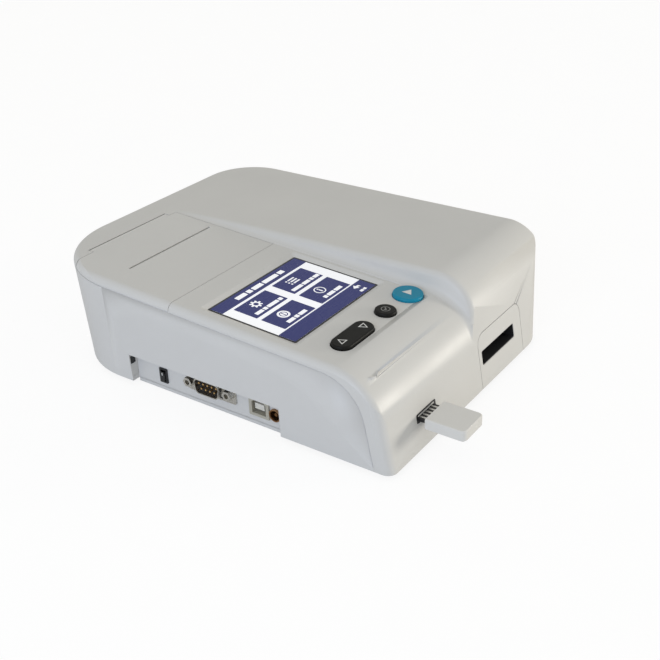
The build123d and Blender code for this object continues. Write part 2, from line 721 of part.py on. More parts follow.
with BuildPart() as key_switches:
    for x in (start_x, confirm_x, rocker_x - 9, rocker_x + 9):
        with BuildSketch(panel_plane(x, key_y, key_board_drop)):
            Rectangle(6, 6)
        extrude(amount=switch_height - 0.6)
        with BuildSketch(panel_plane(x, key_y, key_board_drop)):
            Circle(1.7)
        extrude(amount=switch_height)

# ================================================================ sockets on the left
back_x = plate_x + port_plate_thickness
connector_end = plate_x + 7.3
serial_width = 16.9
serial_height = 8.36


def side_plane(x, y, z):
    """Plane across X at a point; its own axes run along Y and Z."""
    return Plane(origin=(x, y, z), x_dir=(0, 1, 0), z_dir=(1, 0, 0))


def serial_outline(x, width, height):
    """The lopsided outline of the serial socket at x."""
    lean = height * tan(radians(10))
    with BuildSketch(side_plane(x, serial_y, serial_z)) as face:
        with BuildLine():
            Polyline((-width / 2, height / 2), (width / 2, height / 2),
                     (width / 2 - lean, -height / 2), (-width / 2 + lean, -height / 2), close=True)
        make_face()
        fillet(face.vertices(), min(2.2, height / 3.5))
    return face.sketch


with BuildPart() as port_plate:
    slab((plate_x, back_x), (port_front_y + 0.1, port_rear_y - 0.1), (floor_top, port_ceiling))
    slab((plate_x - 1, back_x + 1), (serial_y - 10, serial_y + 10),
         (serial_z - 5.3, serial_z + 5.3), mode=Mode.SUBTRACT)
    slab((plate_x - 1, back_x + 1), (usb_y - 6.02, usb_y + 6.02), (usb_z - 5.45, usb_z + 5.45),
         mode=Mode.SUBTRACT)
    rod((plate_x - 1, back_x + 1), jack_y, jack_z, 3.4, mode=Mode.SUBTRACT)
    slab((plate_x - 1, back_x + 1), (switch_y - 2.1, switch_y + 2.1),
         (switch_z - 3.7, switch_z + 3.7), mode=Mode.SUBTRACT)
    for side in (-1, 1):
        rod((plate_x - 1, back_x + 1), serial_y + side * 12.5, serial_z, 1.5, mode=Mode.SUBTRACT)

shell_end = -side_x(serial_z) + 0.4
with BuildPart() as serial_shell:
    extrude(serial_outline(shell_end, serial_width, serial_height), amount=connector_end - shell_end)
    with BuildSketch(side_plane(plate_x, serial_y, serial_z)):
        RectangleRounded(30.8, 12.5, 1.2)
    extrude(amount=-0.8)
    slab((plate_x, connector_end), (serial_y - 10, serial_y + 10), (serial_z - 5.3, serial_z + 5.3))
    extrude(serial_outline(shell_end, serial_width - 1, serial_height - 1),
            amount=plate_x + 5 - shell_end, mode=Mode.SUBTRACT)
    for side in (-1, 1):
        rod((plate_x - 2, plate_x + 1), serial_y + side * 12.5, serial_z, 1.5, mode=Mode.SUBTRACT)

pin_places = [((n - 2) * 2.76, 1.42) for n in range(5)] + [((n - 1.5) * 2.76, -1.42) for n in range(4)]
with BuildPart() as serial_insert:
    extrude(serial_outline(plate_x - 1.2, serial_width - 1, serial_height - 1), amount=6.2)
    with BuildSketch(side_plane(plate_x - 3, serial_y, serial_z)):
        with Locations(*pin_places):
            Circle(0.5)
    extrude(amount=9, mode=Mode.SUBTRACT)

with BuildPart() as serial_pins:
    with BuildSketch(side_plane(shell_end + 1.0, serial_y, serial_z)):
        with Locations(*pin_places):
            Circle(0.5)
    extrude(amount=plate_x + 5 - shell_end - 1.0)

with BuildPart() as jack_screws:
    with BuildSketch(side_plane(shell_end, serial_y, serial_z)):
        with GridLocations(25, 1, 2, 1):
            RegularPolygon(2.4, 6, major_radius=False)
            Circle(1.3, mode=Mode.SUBTRACT)
    extrude(amount=plate_x - 0.8 - shell_end)
    with BuildSketch(side_plane(plate_x - 1.8, serial_y, serial_z)):
        with GridLocations(25, 1, 2, 1):
            Circle(1.5)
    extrude(amount=4.6)

usb_front = plate_x - 1.0
with BuildPart() as usb_shell:
    with BuildSketch(side_plane(usb_front, usb_y, usb_z)):
        Rectangle(12.04, 10.9)
    extrude(amount=connector_end - usb_front)
    with BuildSketch(side_plane(usb_front, usb_y, usb_z)) as usb_mouth:
        Rectangle(8.45, 7.78)
        chamfer(usb_mouth.vertices().filter_by(lambda corner: corner.Y > 0), 1.7)
    extrude(amount=8, mode=Mode.SUBTRACT)

with BuildPart() as usb_insert:
    with BuildSketch(side_plane(usb_front + 0.9, usb_y, usb_z)):
        Rectangle(5.6, 3.2)
    extrude(amount=7.1)

with BuildPart() as power_jack:
    rod((plate_x - 1.2, connector_end), jack_y, jack_z, 3.4)
    rod((plate_x - 2, plate_x + 6), jack_y, jack_z, 3.0, mode=Mode.SUBTRACT)

with BuildPart() as jack_contacts:
    rod((plate_x - 1.0, plate_x + 6), jack_y, jack_z, 3.0)
    rod((plate_x - 2, plate_x + 5.4), jack_y, jack_z, 2.6, mode=Mode.SUBTRACT)
    rod((plate_x, plate_x + 6), jack_y, jack_z, 0.9)

rocker_axis_x = plate_x + 1.0
with BuildPart() as power_switch:
    slab((plate_x - 1.0, plate_x), (switch_y - 2.5, switch_y + 2.5), (switch_z - 4.1, switch_z + 4.1))
    slab((plate_x, connector_end - 0.4), (switch_y - 2.1, switch_y + 2.1),
         (switch_z - 3.7, switch_z + 3.7))
    slab((plate_x - 2, plate_x + 4.2), (switch_y - 1.6, switch_y + 1.6),
         (switch_z - 3.4, switch_z + 3.4), mode=Mode.SUBTRACT)
    with BuildSketch(Plane.XZ.offset(-switch_y)):
        with Locations((rocker_axis_x, switch_z)):
            Circle(0.5 + running_fit)
    extrude(amount=1.9, both=True, mode=Mode.SUBTRACT)

with BuildPart() as power_rocker:
    with BuildSketch(Plane.XZ.offset(-switch_y)):
        with BuildLine():
            nose = ThreePointArc((plate_x - 2.0, switch_z - 2.8), (plate_x - 1.4, switch_z),
                                 (plate_x - 2.0, switch_z + 2.8))
            Polyline(nose @ 1, (plate_x + 1.8, switch_z + 2.2), (plate_x + 1.8, switch_z - 2.2),
                     nose @ 0)
        make_face()
    extrude(amount=1.35, both=True)
    with BuildSketch(Plane.XZ.offset(-switch_y)):
        with Locations((rocker_axis_x, switch_z)):
            Circle(0.5)
    extrude(amount=1.8, both=True)

board_x = connector_end
port_board_rear = 24.0
with BuildPart() as port_board:
    slab((board_x, board_x + board_thickness), (port_front_y + 1, port_board_rear),
         (floor_top + 0.5, 28))

with BuildPart() as port_board_parts:
    slab((board_x + board_thickness, board_x + 4.4), (serial_y - 8, serial_y + 6), (15, 22))
    slab((board_x + board_thickness, board_x + 3.2), (usb_y - 4, usb_y + 4), (16, 24))

# ================================================================ code chip and its socket
with BuildPart() as code_chip:
    slab((chip_x - chip_width / 2, chip_x + chip_width / 2), (chip_y, chip_y + chip_length),
         (chip_z - chip_thickness / 2, chip_z + chip_thickness / 2))
    fillet(code_chip.edges().filter_by(Axis.Z).group_by(Axis.Y)[0], chip_corner)
    chamfer(code_chip.faces().sort_by(Axis.Y)[0].edges(), 0.5)
    slab((chip_x - tongue_width / 2, chip_x + tongue_width / 2),
         (chip_y + chip_length - 8, chip_y + chip_length + 1),
         (chip_z - tongue_thickness / 2, chip_z + tongue_thickness / 2), mode=Mode.SUBTRACT)

with BuildPart() as chip_tongue:
    slab((chip_x - tongue_width / 2, chip_x + tongue_width / 2),
         (chip_y + chip_length - 8, chip_y + chip_length + tongue_length),
         (chip_z - tongue_thickness / 2, chip_z + tongue_thickness / 2))

socket_front = front_y + 8.2
with BuildPart() as chip_socket:
    slab((chip_x - 10.5, chip_x + 10.5), (socket_front, socket_front + 12), (chip_z - 5, chip_z + 5))
    for side in (-1, 1):
        slab((chip_x + side * 9 - 2, chip_x + side * 9 + 2), (socket_front, socket_front + 12),
             (floor_top, chip_z - 4.9))
    slab((chip_x - tongue_width / 2 - 0.4, chip_x + tongue_width / 2 + 0.4),
         (socket_front - 1, socket_front + 10.5), (chip_z - 1.2, chip_z + 1.2), mode=Mode.SUBTRACT)

with BuildPart() as socket_contacts:
    for n in range(5):
        slab((chip_x + (n - 2) * 2.6 - 0.5, chip_x + (n - 2) * 2.6 + 0.5),
             (socket_front + 12, socket_front + 15), (chip_z - 4, chip_z - 3.4))

# ================================================================ printer
platen_y = paper_slot_y - platen_radius
platen_z = panel_z(platen_y) - platen_drop
roll_y = platen_y - roll_ahead
roll_z = floor_top + roll_height
cheek_left = paper_slot_x - 34.4
cheek_right = paper_slot_x + 34.1
cheek = 2.5
gear_step = 0.5
platen_teeth = 26
motor_teeth = 12
mesh_angle = -64.6
mesh_distance = gear_step * (platen_teeth + motor_teeth) / 2 + 0.03
motor_y = platen_y + mesh_distance * cos(radians(mesh_angle))
motor_z = platen_z + mesh_distance * sin(radians(mesh_angle))
platen_shaft_radius = 2.5
spool_shaft_radius = 3.0
small_motor_radius = 4.2

with BuildPart() as printer_frame:
    slab((cheek_left, cheek_right), (paper_slot_y - 41.5, paper_slot_y + 12), (printer_z, printer_z + 2))
    for near, far in ((cheek_left, cheek_left + cheek), (cheek_right - cheek, cheek_right)):
        with BuildSketch(side_plane(near, 0, 0)):
            with BuildLine():
                Polyline((paper_slot_y - 41.5, printer_z), (paper_slot_y + 12, printer_z),
                         (paper_slot_y + 12, 50), (paper_slot_y + 8, 54), (platen_y - 4, 54),
                         (roll_y - 8, 36), (paper_slot_y - 41.5, 28), close=True)
            make_face()
        extrude(amount=cheek)
    rod((cheek_left - 1, cheek_right + 1), platen_y, platen_z, platen_shaft_radius + running_fit,
        mode=Mode.SUBTRACT)
    rod((cheek_left - 1, cheek_right + 1), roll_y, roll_z, spool_shaft_radius + running_fit,
        mode=Mode.SUBTRACT)
    rod((cheek_right - cheek - 1, cheek_right + 1), motor_y, motor_z, 1.2, mode=Mode.SUBTRACT)
    for x, y in printer_places:
        post(x, y, (printer_z - 1, printer_z + 3), small_screw_radius, mode=Mode.SUBTRACT)

with BuildPart() as thermal_head:
    slab((cheek_left + cheek, cheek_right - cheek), (paper_slot_y + 0.35, paper_slot_y + 2.4),
         (platen_z - 2.5, 54))
    slab((cheek_left + cheek, cheek_right - cheek), (paper_slot_y + 2.4, paper_slot_y + 7),
         (50, 54))

with BuildPart() as platen_roller:
    rod((paper_slot_x - platen_length / 2, paper_slot_x + platen_length / 2), platen_y, platen_z,
        platen_radius)
    rod((-reach, reach), platen_y, platen_z, platen_shaft_radius, mode=Mode.SUBTRACT)

with BuildPart() as platen_shaft:
    rod((cheek_left - 0.5, cheek_right + 4.0), platen_y, platen_z, platen_shaft_radius)

with BuildPart() as platen_gear:
    with BuildSketch(side_plane(cheek_right + 0.5, platen_y, platen_z)):
        Polygon(*gear_points(gear_step, platen_teeth, mesh_angle, 1, 0.05), align=None)
        Circle(platen_shaft_radius, mode=Mode.SUBTRACT)
    extrude(amount=3)

with BuildPart() as printer_motor:
    rod((cheek_right - cheek - 22, cheek_right - cheek), motor_y, motor_z, small_motor_radius)
    rod((cheek_right - cheek - 4, cheek_right), motor_y, motor_z, 1.0 + running_fit,
        mode=Mode.SUBTRACT)

with BuildPart() as printer_pinion:
    with BuildSketch(side_plane(cheek_right + 0.5, motor_y, motor_z)):
        Polygon(*gear_points(gear_step, motor_teeth, mesh_angle + 180 + 180 / motor_teeth, 1, 0.05),
                align=None)
    extrude(amount=3)
    rod((cheek_right - cheek - 3.5, cheek_right + 2), motor_y, motor_z, 1.0)

with BuildPart() as paper_roll:
    rod((paper_slot_x - roll_width / 2, paper_slot_x + roll_width / 2), roll_y, roll_z, roll_radius)
    rod((-reach, reach), roll_y, roll_z, roll_core_radius, mode=Mode.SUBTRACT)

with BuildPart() as paper_spool:
    rod((paper_slot_x - roll_width / 2 - 1, paper_slot_x + roll_width / 2 + 1), roll_y, roll_z,
        roll_core_radius)
    rod((cheek_left - 0.5, cheek_right + 0.5), roll_y, roll_z, spool_shaft_radius)

# ================================================================ test bay
tray_width = test_slot_width - 2 * tray_clearance
tray_height = test_slot_height - 2 * tray_clearance
tray_front = front_face_y(slot_z) + tray_parked
tray_rear = tray_front + tray_length
tray_low = slot_z - tray_height / 2
tray_high = slot_z + tray_height / 2
tray_left = slot_x - tray_width / 2
tray_right = slot_x + tray_width / 2
pinion_y = front_y + pinion_setback
rack_pitch_x = tray_right - 1.2
pinion_x = rack_pitch_x + gear_module * pinion_teeth / 2 + 0.05
rack_back = rack_pitch_x - 2.6
step = pi * gear_module
rack_first = -2
rack_last = ceil(tray_travel / step) + 2
gear_low = tray_low + 0.2

with BuildPart() as tray:
    slab((tray_left, tray_right), (tray_front, tray_rear), (tray_low, tray_high))
    fillet(tray.edges().filter_by(Axis.Z).group_by(Axis.Y)[0], 2.0)
    slab((rack_back, reach), (-reach, reach), (-reach, tray_low + rack_height + 0.2),
         mode=Mode.SUBTRACT)
    with BuildSketch(Plane.XY.offset(tray_high)):
        with Locations((slot_x, tray_front + 8 + pocket_length / 2)):
            RectangleRounded(pocket_width, pocket_length, 1.5)
    extrude(amount=-pocket_depth, mode=Mode.SUBTRACT)
    # finger notch at the front of the pocket
    with Locations((slot_x, tray_front, tray_high)):
        Cylinder(7, 3.0, mode=Mode.SUBTRACT)

with BuildPart() as tray_rack:
    with BuildSketch(Plane.XY.offset(gear_low)):
        with BuildLine():
            slope = tan(radians(pressure_angle))
            half_tip = step / 4 - gear_module * slope - backlash / 2
            half_root = step / 4 + 1.25 * gear_module * slope - backlash / 2
            tip_x = rack_pitch_x + gear_module
            root_x = rack_pitch_x - 1.25 * gear_module
            teeth = []
            for n in range(rack_first, rack_last + 1):
                middle = pinion_y + n * step
                teeth += [(root_x, middle - half_root), (tip_x, middle - half_tip),
                          (tip_x, middle + half_tip), (root_x, middle + half_root)]
            Polyline((rack_back, teeth[0][1]), *teeth, (rack_back, teeth[-1][1]), close=True)
        make_face()
    extrude(amount=rack_height - 0.2)

with BuildPart() as drive_pinion:
    with BuildSketch(Plane.XY.offset(gear_low)):
        with Locations((pinion_x, pinion_y)):
            Polygon(*gear_points(gear_module, pinion_teeth, 180 / pinion_teeth, 2), align=None)
            Circle(drive_shaft_radius, mode=Mode.SUBTRACT)
    extrude(amount=rack_height - 0.4)
    with BuildSketch(Plane.XY.offset(gear_low + rack_height - 0.4)):
        with Locations((pinion_x, pinion_y)):
            Circle(3.2)
            Circle(drive_shaft_radius, mode=Mode.SUBTRACT)
    extrude(amount=2.2)

rail = 2.5
guide_low = base_z
guide_top = tray_high + 0.1
rail_top = guide_top + 1.4
base_front = tray_front - 1.5
base_rear = 40.0
with BuildPart() as tray_base:
    slab((tray_left - touch - rail, tray_right + touch + rail), (base_front, base_rear),
         (guide_low, tray_low - touch))
    for side, wall_x in ((-1, tray_left - touch), (1, tray_right + touch)):
        far = wall_x + side * rail
        lip_x = wall_x - side * 1.3
        slab((min(wall_x, far), max(wall_x, far)), (base_front, base_rear), (guide_low, rail_top))
        slab((min(lip_x, far), max(lip_x, far)), (base_front, base_rear), (guide_top, rail_top))
    for x, y in tray_places:
        post(x, y, (guide_low, tray_low - touch), 4)
        inward = min(max(x, tray_left), tray_right)
        slab((min(x, inward), max(x, inward)), (y - 4, y + 4), (guide_low, tray_low - touch))
        post(x, y, (guide_low - 1, tray_low + 1), small_screw_radius, mode=Mode.SUBTRACT)
    slab((tray_right - 0.5, tray_right + 6), (pinion_y - 8.6, pinion_y + 8.6),
         (tray_low - touch, guide_top), mode=Mode.SUBTRACT)

with BuildPart() as tray_screws:
    for x, y in tray_places:
        post(x, y, (tray_low - touch, tray_low - touch + 1.8), 2.5)
        post(x, y, (floor_top + 1.5, tray_low - touch), small_screw_radius)

bracket_low = rail_top
bracket_plate = 2.2
motor_low = bracket_low + bracket_plate
with BuildPart() as motor_bracket:
    slab((tray_right + touch, pinion_x + motor_radius + 1), (pinion_y - 18, pinion_y + 18),
         (bracket_low, motor_low))
    for end in (pinion_y - 18, pinion_y + 12):
        slab((pinion_x + motor_radius - 3, pinion_x + motor_radius + 1), (end, end + 6),
             (floor_top, bracket_low + 0.5))
    post(pinion_x, pinion_y, (bracket_low - 1, motor_low + 1), 4.2, mode=Mode.SUBTRACT)

with BuildPart() as drive_motor:
    post(pinion_x, pinion_y, (motor_low, motor_low + motor_height), motor_radius)
    chamfer(drive_motor.faces().sort_by(Axis.Z)[-1].edges(), 1.0)
    post(pinion_x, pinion_y, (motor_low - 1, motor_low + 5), drive_shaft_radius + running_fit,
         mode=Mode.SUBTRACT)

with BuildPart() as drive_shaft:
    post(pinion_x, pinion_y, (gear_low, motor_low + 4.5), drive_shaft_radius)

head_y = -14.0
head_low = rail_top
with BuildPart() as optics_housing:
    slab((tray_left - touch - rail, tray_right + touch + rail), (head_y - 26, head_y + 26),
         (head_low, head_low + 2.2))
    slab((slot_x - 14, slot_x + 14), (head_y - 24, head_y + 24), (head_low + 2, 52))
    fillet(optics_housing.faces().sort_by(Axis.Z)[-1].edges(), 2.0)
    slab((slot_x - 11.5, slot_x + 11.5), (head_y - 30, head_y + 30), (head_low - 1, head_low + 4.2),
         mode=Mode.SUBTRACT)
    post(slot_x, head_y, (head_low - 1, 60), 5.5, mode=Mode.SUBTRACT)
    with Locations(Location((slot_x, head_y, head_low), (-38, 0, 0))):
        Cylinder(4.2, 60, align=(Align.CENTER, Align.CENTER, Align.MIN), mode=Mode.SUBTRACT)

with BuildPart() as optics_lenses:
    post(slot_x, head_y, (head_low + 18, head_low + 20), 5.5)
    post(slot_x, head_y, (head_low + 12, head_low + 14), 5.5)

with BuildPart() as photodiode:
    post(slot_x, head_y, (45, 50), 5.5)
    post(slot_x, head_y, (50, 53), 4)

with BuildPart() as led_emitter:
    with Locations(Location((slot_x, head_y, head_low), (-38, 0, 0))):
        with Locations((0, 0, 22)):
            Cylinder(4.2, 5, align=(Align.CENTER, Align.CENTER, Align.MIN))

# ================================================================ main board
with BuildPart() as main_board:
    slab((-67, -7), (-65, 19), (board_z, board_z + board_thickness))
    for x, y in board_places:
        post(x, y, (board_z - 1, board_z + 3), small_screw_radius, mode=Mode.SUBTRACT)

board_top = board_z + board_thickness
with BuildPart() as board_chips:
    slab((-45, -31), (-30, -16), (board_top, board_top + 1.6))
    slab((-58, -50), (-20, -8), (board_top, board_top + 1.2))
    slab((-26, -16), (-34, -28), (board_top, board_top + 1.2))
    slab((-60, -52), (-52, -30), (board_top, board_top + 6))
    slab((-30, -14), (-58, -52), (board_top, board_top + 5.5))

with BuildPart() as coin_cell:
    post(-25, 4, (board_top + 1, board_top + 4.2), 10)

with BuildPart() as cell_holder:
    slab((-36.5, -13.5), (-7.5, 15.5), (board_top, board_top + 3.4))
    post(-25, 4, (board_top + 1, board_top + 5), 10, mode=Mode.SUBTRACT)

with BuildPart() as board_screws:
    for x, y in board_places:
        post(x, y, (board_top, board_top + 1.6), 2.5)
        post(x, y, (floor_top + 1.5, board_top), small_screw_radius)

with BuildPart() as printer_screws:
    for x, y in printer_places:
        post(x, y, (printer_z + 2, printer_z + 3.6), 2.5)
        post(x, y, (floor_top + 1.5, printer_z + 2), small_screw_radius)

# ================================================================ export
pieces = {
    "lower_casing": lower_casing, "upper_cover": upper_cover, "printer_lid": printer_lid,
    "lid_hinge_pin": lid_hinge_pin, "port_cover": port_cover, "rubber_feet": rubber_feet,
    "casing_screws": casing_screws, "touch_panel": touch_panel,
    "display_module": display_module, "display_bracket": display_bracket,
    "start_key": start_key, "confirm_key": confirm_key, "rocker_key": rocker_key,
    "key_board": key_board, "key_board_screws": key_board_screws, "key_switches": key_switches,
    "port_plate": port_plate, "serial_shell": serial_shell, "serial_insert": serial_insert,
    "serial_pins": serial_pins, "jack_screws": jack_screws, "usb_shell": usb_shell,
    "usb_insert": usb_insert, "power_jack": power_jack, "jack_contacts": jack_contacts,
    "power_switch": power_switch, "power_rocker": power_rocker, "port_board": port_board,
    "port_board_parts": port_board_parts, "code_chip": code_chip, "chip_tongue": chip_tongue,
    "chip_socket": chip_socket, "socket_contacts": socket_contacts,
    "printer_frame": printer_frame, "thermal_head": thermal_head,
    "platen_roller": platen_roller, "platen_shaft": platen_shaft, "platen_gear": platen_gear,
    "printer_motor": printer_motor, "printer_pinion": printer_pinion,
    "paper_roll": paper_roll, "paper_spool": paper_spool, "printer_screws": printer_screws,
    "tray": tray, "tray_rack": tray_rack, "tray_base": tray_base, "tray_screws": tray_screws,
    "drive_pinion": drive_pinion, "drive_shaft": drive_shaft, "drive_motor": drive_motor,
    "motor_bracket": motor_bracket, "optics_housing": optics_housing,
    "optics_lenses": optics_lenses, "photodiode": photodiode, "led_emitter": led_emitter,
    "main_board": main_board, "board_chips": board_chips, "coin_cell": coin_cell,
    "cell_holder": cell_holder, "board_screws": board_screws,
}
for name, piece in pieces.items():
    piece.part.label = name
    export_step(piece.part, "parts/" + name + ".step")
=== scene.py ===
# %% [markdown]
# # A rapid test reader on a pale table
#
# The reader is a bench-top case with a sloping key panel, a raised hood over the test slot
# and a row of sockets in its left wall. Its solid parts come from a CAD model that is packed
# as a frame. This lesson loads that frame, adds the thin things that a CAD model leaves out
# (the lit picture on the screen, the marks on the keys, the contact strips of the code chip,
# the web of ticket paper), gives every piece a finish and sets up light and camera.

import math

import bmesh
import bpy
import numpy as np
from mathutils import Matrix, Vector


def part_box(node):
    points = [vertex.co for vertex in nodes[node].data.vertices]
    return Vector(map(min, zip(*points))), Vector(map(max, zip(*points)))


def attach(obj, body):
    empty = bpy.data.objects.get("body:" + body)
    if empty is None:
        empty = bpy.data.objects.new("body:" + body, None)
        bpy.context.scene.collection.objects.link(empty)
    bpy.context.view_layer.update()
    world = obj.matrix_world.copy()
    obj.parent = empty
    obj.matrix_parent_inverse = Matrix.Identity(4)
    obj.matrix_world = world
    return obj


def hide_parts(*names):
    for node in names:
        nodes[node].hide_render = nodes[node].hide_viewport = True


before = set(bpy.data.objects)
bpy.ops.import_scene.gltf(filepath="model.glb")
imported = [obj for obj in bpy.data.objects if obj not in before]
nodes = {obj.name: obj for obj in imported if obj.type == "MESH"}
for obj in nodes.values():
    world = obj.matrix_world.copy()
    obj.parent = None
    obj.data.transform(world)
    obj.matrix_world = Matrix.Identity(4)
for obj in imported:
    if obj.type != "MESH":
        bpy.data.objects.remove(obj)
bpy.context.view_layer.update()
mm = 0.001

# %% [markdown]
# ## A ruler that lies on the sloping panel
#
# The screen and the keys sit on a panel that falls towards the front. Every mark on it is
# easier to place with a ruler that lies on the panel itself: so far to the right, so far up
# the slope, so far out of the surface. The screen's glass is a thin slab on that panel, so
# its own vertices give the directions: they spread least along the panel's normal.

# %% Panel directions from the glass


def mesh_points(mesh):
    """A mesh's vertices as an array of rows x, y, z."""
    points = np.empty(len(mesh.vertices) * 3)
    mesh.vertices.foreach_get("co", points)
    return points.reshape(-1, 3)


def vertices_of(node):
    """All vertices of a frame node as an array of rows x, y, z."""
    return mesh_points(nodes[node].data)


glass_points = vertices_of("touch_panel")
glass_middle = (glass_points.min(axis=0) + glass_points.max(axis=0)) / 2
panel_normal = np.linalg.svd(glass_points - glass_points.mean(axis=0), full_matrices=False)[2][2]
panel_normal = panel_normal * np.sign(panel_normal[2])
across = np.array([1.0, 0.0, 0.0])
upslope = np.cross(panel_normal, across)
glass_top = ((glass_points - glass_middle) @ panel_normal).max()
glass_origin = glass_middle + glass_top * panel_normal
print("panel normal:", panel_normal.round(4), "glass top centre:", glass_origin.round(4))


def on_panel(origin, right, up, out):
    """Points at origin + right along x + up along the slope + out along the panel's normal."""
    parts = np.broadcast_arrays(right, up, out)
    directions = (across, upslope, panel_normal)
    return origin + sum(part[..., None] * way for part, way in zip(parts, directions))


# %% [markdown]
# ## Turning a grid of points into a mesh
#
# Each new piece is a surface worked out over a grid of two parameters. A grid of rows and
# columns becomes a mesh of four-sided faces, joined up where it closes on itself. Rows that
# shrink to one point, such as the middle of a disc, are merged at the end, so that the piece
# has no open seam or pole.

# %% Grid to mesh

merge_distance = 1e-8


def add_object(name, data):
    """A new object in the scene."""
    thing = bpy.data.objects.new(name, data)
    bpy.context.scene.collection.objects.link(thing)
    return thing


def grid_mesh(name, grid, close_rows=True, close_columns=True):
    """A mesh over grid[row, column]: face (r, c) joins rows r, r + 1 and columns c, c + 1."""
    rows, columns = grid.shape[:2]
    r = np.arange(rows if close_rows else rows - 1)
    c = np.arange(columns if close_columns else columns - 1)
    r, c = np.meshgrid(r, c, indexing="ij")
    r2, c2 = (r + 1) % rows, (c + 1) % columns
    corners = [r * columns + c, r * columns + c2, r2 * columns + c2, r2 * columns + c]
    faces = np.stack(corners, axis=-1).reshape(-1, 4)
    mesh = bpy.data.meshes.new(name)
    mesh.from_pydata(grid.reshape(-1, 3).tolist(), [], faces.tolist())
    thing = add_object(name, mesh)
    tidy_mesh(mesh)
    return thing


def carried(name, rows):
    """A profile carried through the rows, each end closed towards the middle of its row."""
    ends = [np.broadcast_to(row.mean(axis=0), row.shape) for row in (rows[0], rows[-1])]
    return grid_mesh(name, np.stack([ends[0], *rows, ends[1]]), close_rows=False)


def tidy_mesh(mesh):
    """Merges doubled vertices and turns all faces outwards."""
    work = bmesh.new()
    work.from_mesh(mesh)
    bmesh.ops.remove_doubles(work, verts=work.verts, dist=merge_distance)
    bmesh.ops.dissolve_degenerate(work, edges=work.edges, dist=merge_distance)
    bmesh.ops.recalc_face_normals(work, faces=work.faces)
    work.to_mesh(mesh)
    work.free()


def join(name, things):
    """Several pieces as one object."""
    meshes = [thing.data for thing in things]
    points = np.concatenate([mesh_points(mesh) for mesh in meshes])
    faces = []
    start = 0
    for mesh in meshes:
        faces += [[start + v for v in polygon.vertices] for polygon in mesh.polygons]
        start += len(mesh.vertices)
    for thing in things:
        bpy.data.objects.remove(thing)
    mesh = bpy.data.meshes.new(name)
    mesh.from_pydata(points.tolist(), [], faces)
    return add_object(name, mesh)


# %% [markdown]
# ## Thin plates with any outline
#
# Everything printed or lit on the reader is a very thin plate: a tile of the picture, a
# triangle on a key. One function makes them all. Its first parameter runs round an outline,
# its second runs from the middle (or an inner outline) out over the top, down the edge and
# back underneath, so the plate is closed all round.

# %% Plates and their outlines

turn = np.linspace(0, 2 * math.pi, 96, endpoint=False)


def rounded_box(width, height, power=14.0, angles=turn):
    """Superellipse: x = w/2 sign(cos a) |cos a|^(2/p), y = h/2 sign(sin a) |sin a|^(2/p)."""
    x = width / 2 * np.sign(np.cos(angles)) * np.abs(np.cos(angles)) ** (2 / power)
    y = height / 2 * np.sign(np.sin(angles)) * np.abs(np.sin(angles)) ** (2 / power)
    return np.stack([x, y], axis=-1)


def circle(radius, angles=turn):
    """Circle: x = r cos a, y = r sin a."""
    return radius * np.stack([np.cos(angles), np.sin(angles)], axis=-1)


def cog(radius, teeth, depth, angles=turn):
    """Circle whose radius swings by depth with a flattened cosine of teeth times the angle."""
    swing = np.tanh(3 * np.cos(teeth * angles)) * depth / 2
    return circle(1.0, angles) * (radius - depth / 2 + swing)[:, None]


def polygon(corners, count=96):
    """Outline that walks evenly from corner to corner of a closed polygon."""
    corners = np.array(corners + corners[:1], dtype=float)
    reach = np.concatenate([[0], np.cumsum(np.linalg.norm(np.diff(corners, axis=0), axis=1))])
    stops = np.union1d(np.linspace(0, reach[-1], count, endpoint=False), reach[:-1])
    return np.stack([np.interp(stops, reach, corners[:, k]) for k in (0, 1)], axis=-1)


def plate(name, origin, place, outline, level, hole=None, thickness=0.02 * mm):
    """Rows: inner top, outer top, outer bottom, inner bottom; the inner outline is the hole."""
    middle = outline.mean(axis=0)
    inner = np.broadcast_to(middle, outline.shape) if hole is None else hole
    rows = [(inner, level), (outline, level), (outline, level - thickness),
            (inner, level - thickness)]
    grid = np.stack([
        on_panel(origin, place[0] + flat[:, 0], place[1] + flat[:, 1], np.full(len(flat), high))
        for flat, high in rows
    ])
    return grid_mesh(name, grid)


print("plate outlines have", len(turn), "points")

# %% [markdown]
# ## The lit picture on the screen
#
# The real screen shows a start page: a blue title strip, a white field with four blue tiles,
# and a blue bar along the near edge. Each tile has a simple sign and a line of words. Words
# are left out here: a plain bar stands in each place. The layers lie a few hundredths of a
# millimetre over one another on the glass, which is enough to keep them apart in a render
# and far too little to see.

# %% Sizes of the picture

screen_width = 67.8 * mm
screen_height = 50.4 * mm
strip_height = 7.6 * mm
bar_height = 9.6 * mm
tile_width = 24.6 * mm
tile_height = 14.2 * mm
tile_columns = (-15.4 * mm, 14.6 * mm)
tile_rows = (8.9 * mm, -7.7 * mm)
layer = 0.03 * mm
sign_side = -1.5 * mm           # signs stand a little left of and above a tile's middle
sign_rise = 1.9 * mm

# %% Fields, strips and tiles


def panel_plate(name, x, y, width, height, level, power=60.0):
    """A rounded rectangle on the glass."""
    return plate(name, glass_origin, (x, y), rounded_box(width, height, power), level * layer)


picture_blue = [
    panel_plate("strip", 0, (screen_height - strip_height) / 2, screen_width, strip_height, 2),
    panel_plate("bar", 0, -(screen_height - bar_height) / 2, screen_width, bar_height, 2),
]
picture_blue += [
    panel_plate("tile", x, y, tile_width, tile_height, 2) for x in tile_columns for y in tile_rows
]
picture_field = panel_plate("picture_field", 0, 0, screen_width, screen_height, 1)
picture_blue = join("picture_blue", picture_blue)
print("picture:", screen_width, "by", screen_height, "m")

# %% [markdown]
# ### Signs and plain bars
#
# Four signs: a cog, a list, a round dial and a ringed dot with a stroke. They are all
# generic. The bars under them and in the title strip stand for lines of words.

# %% Signs on the tiles

marks = []


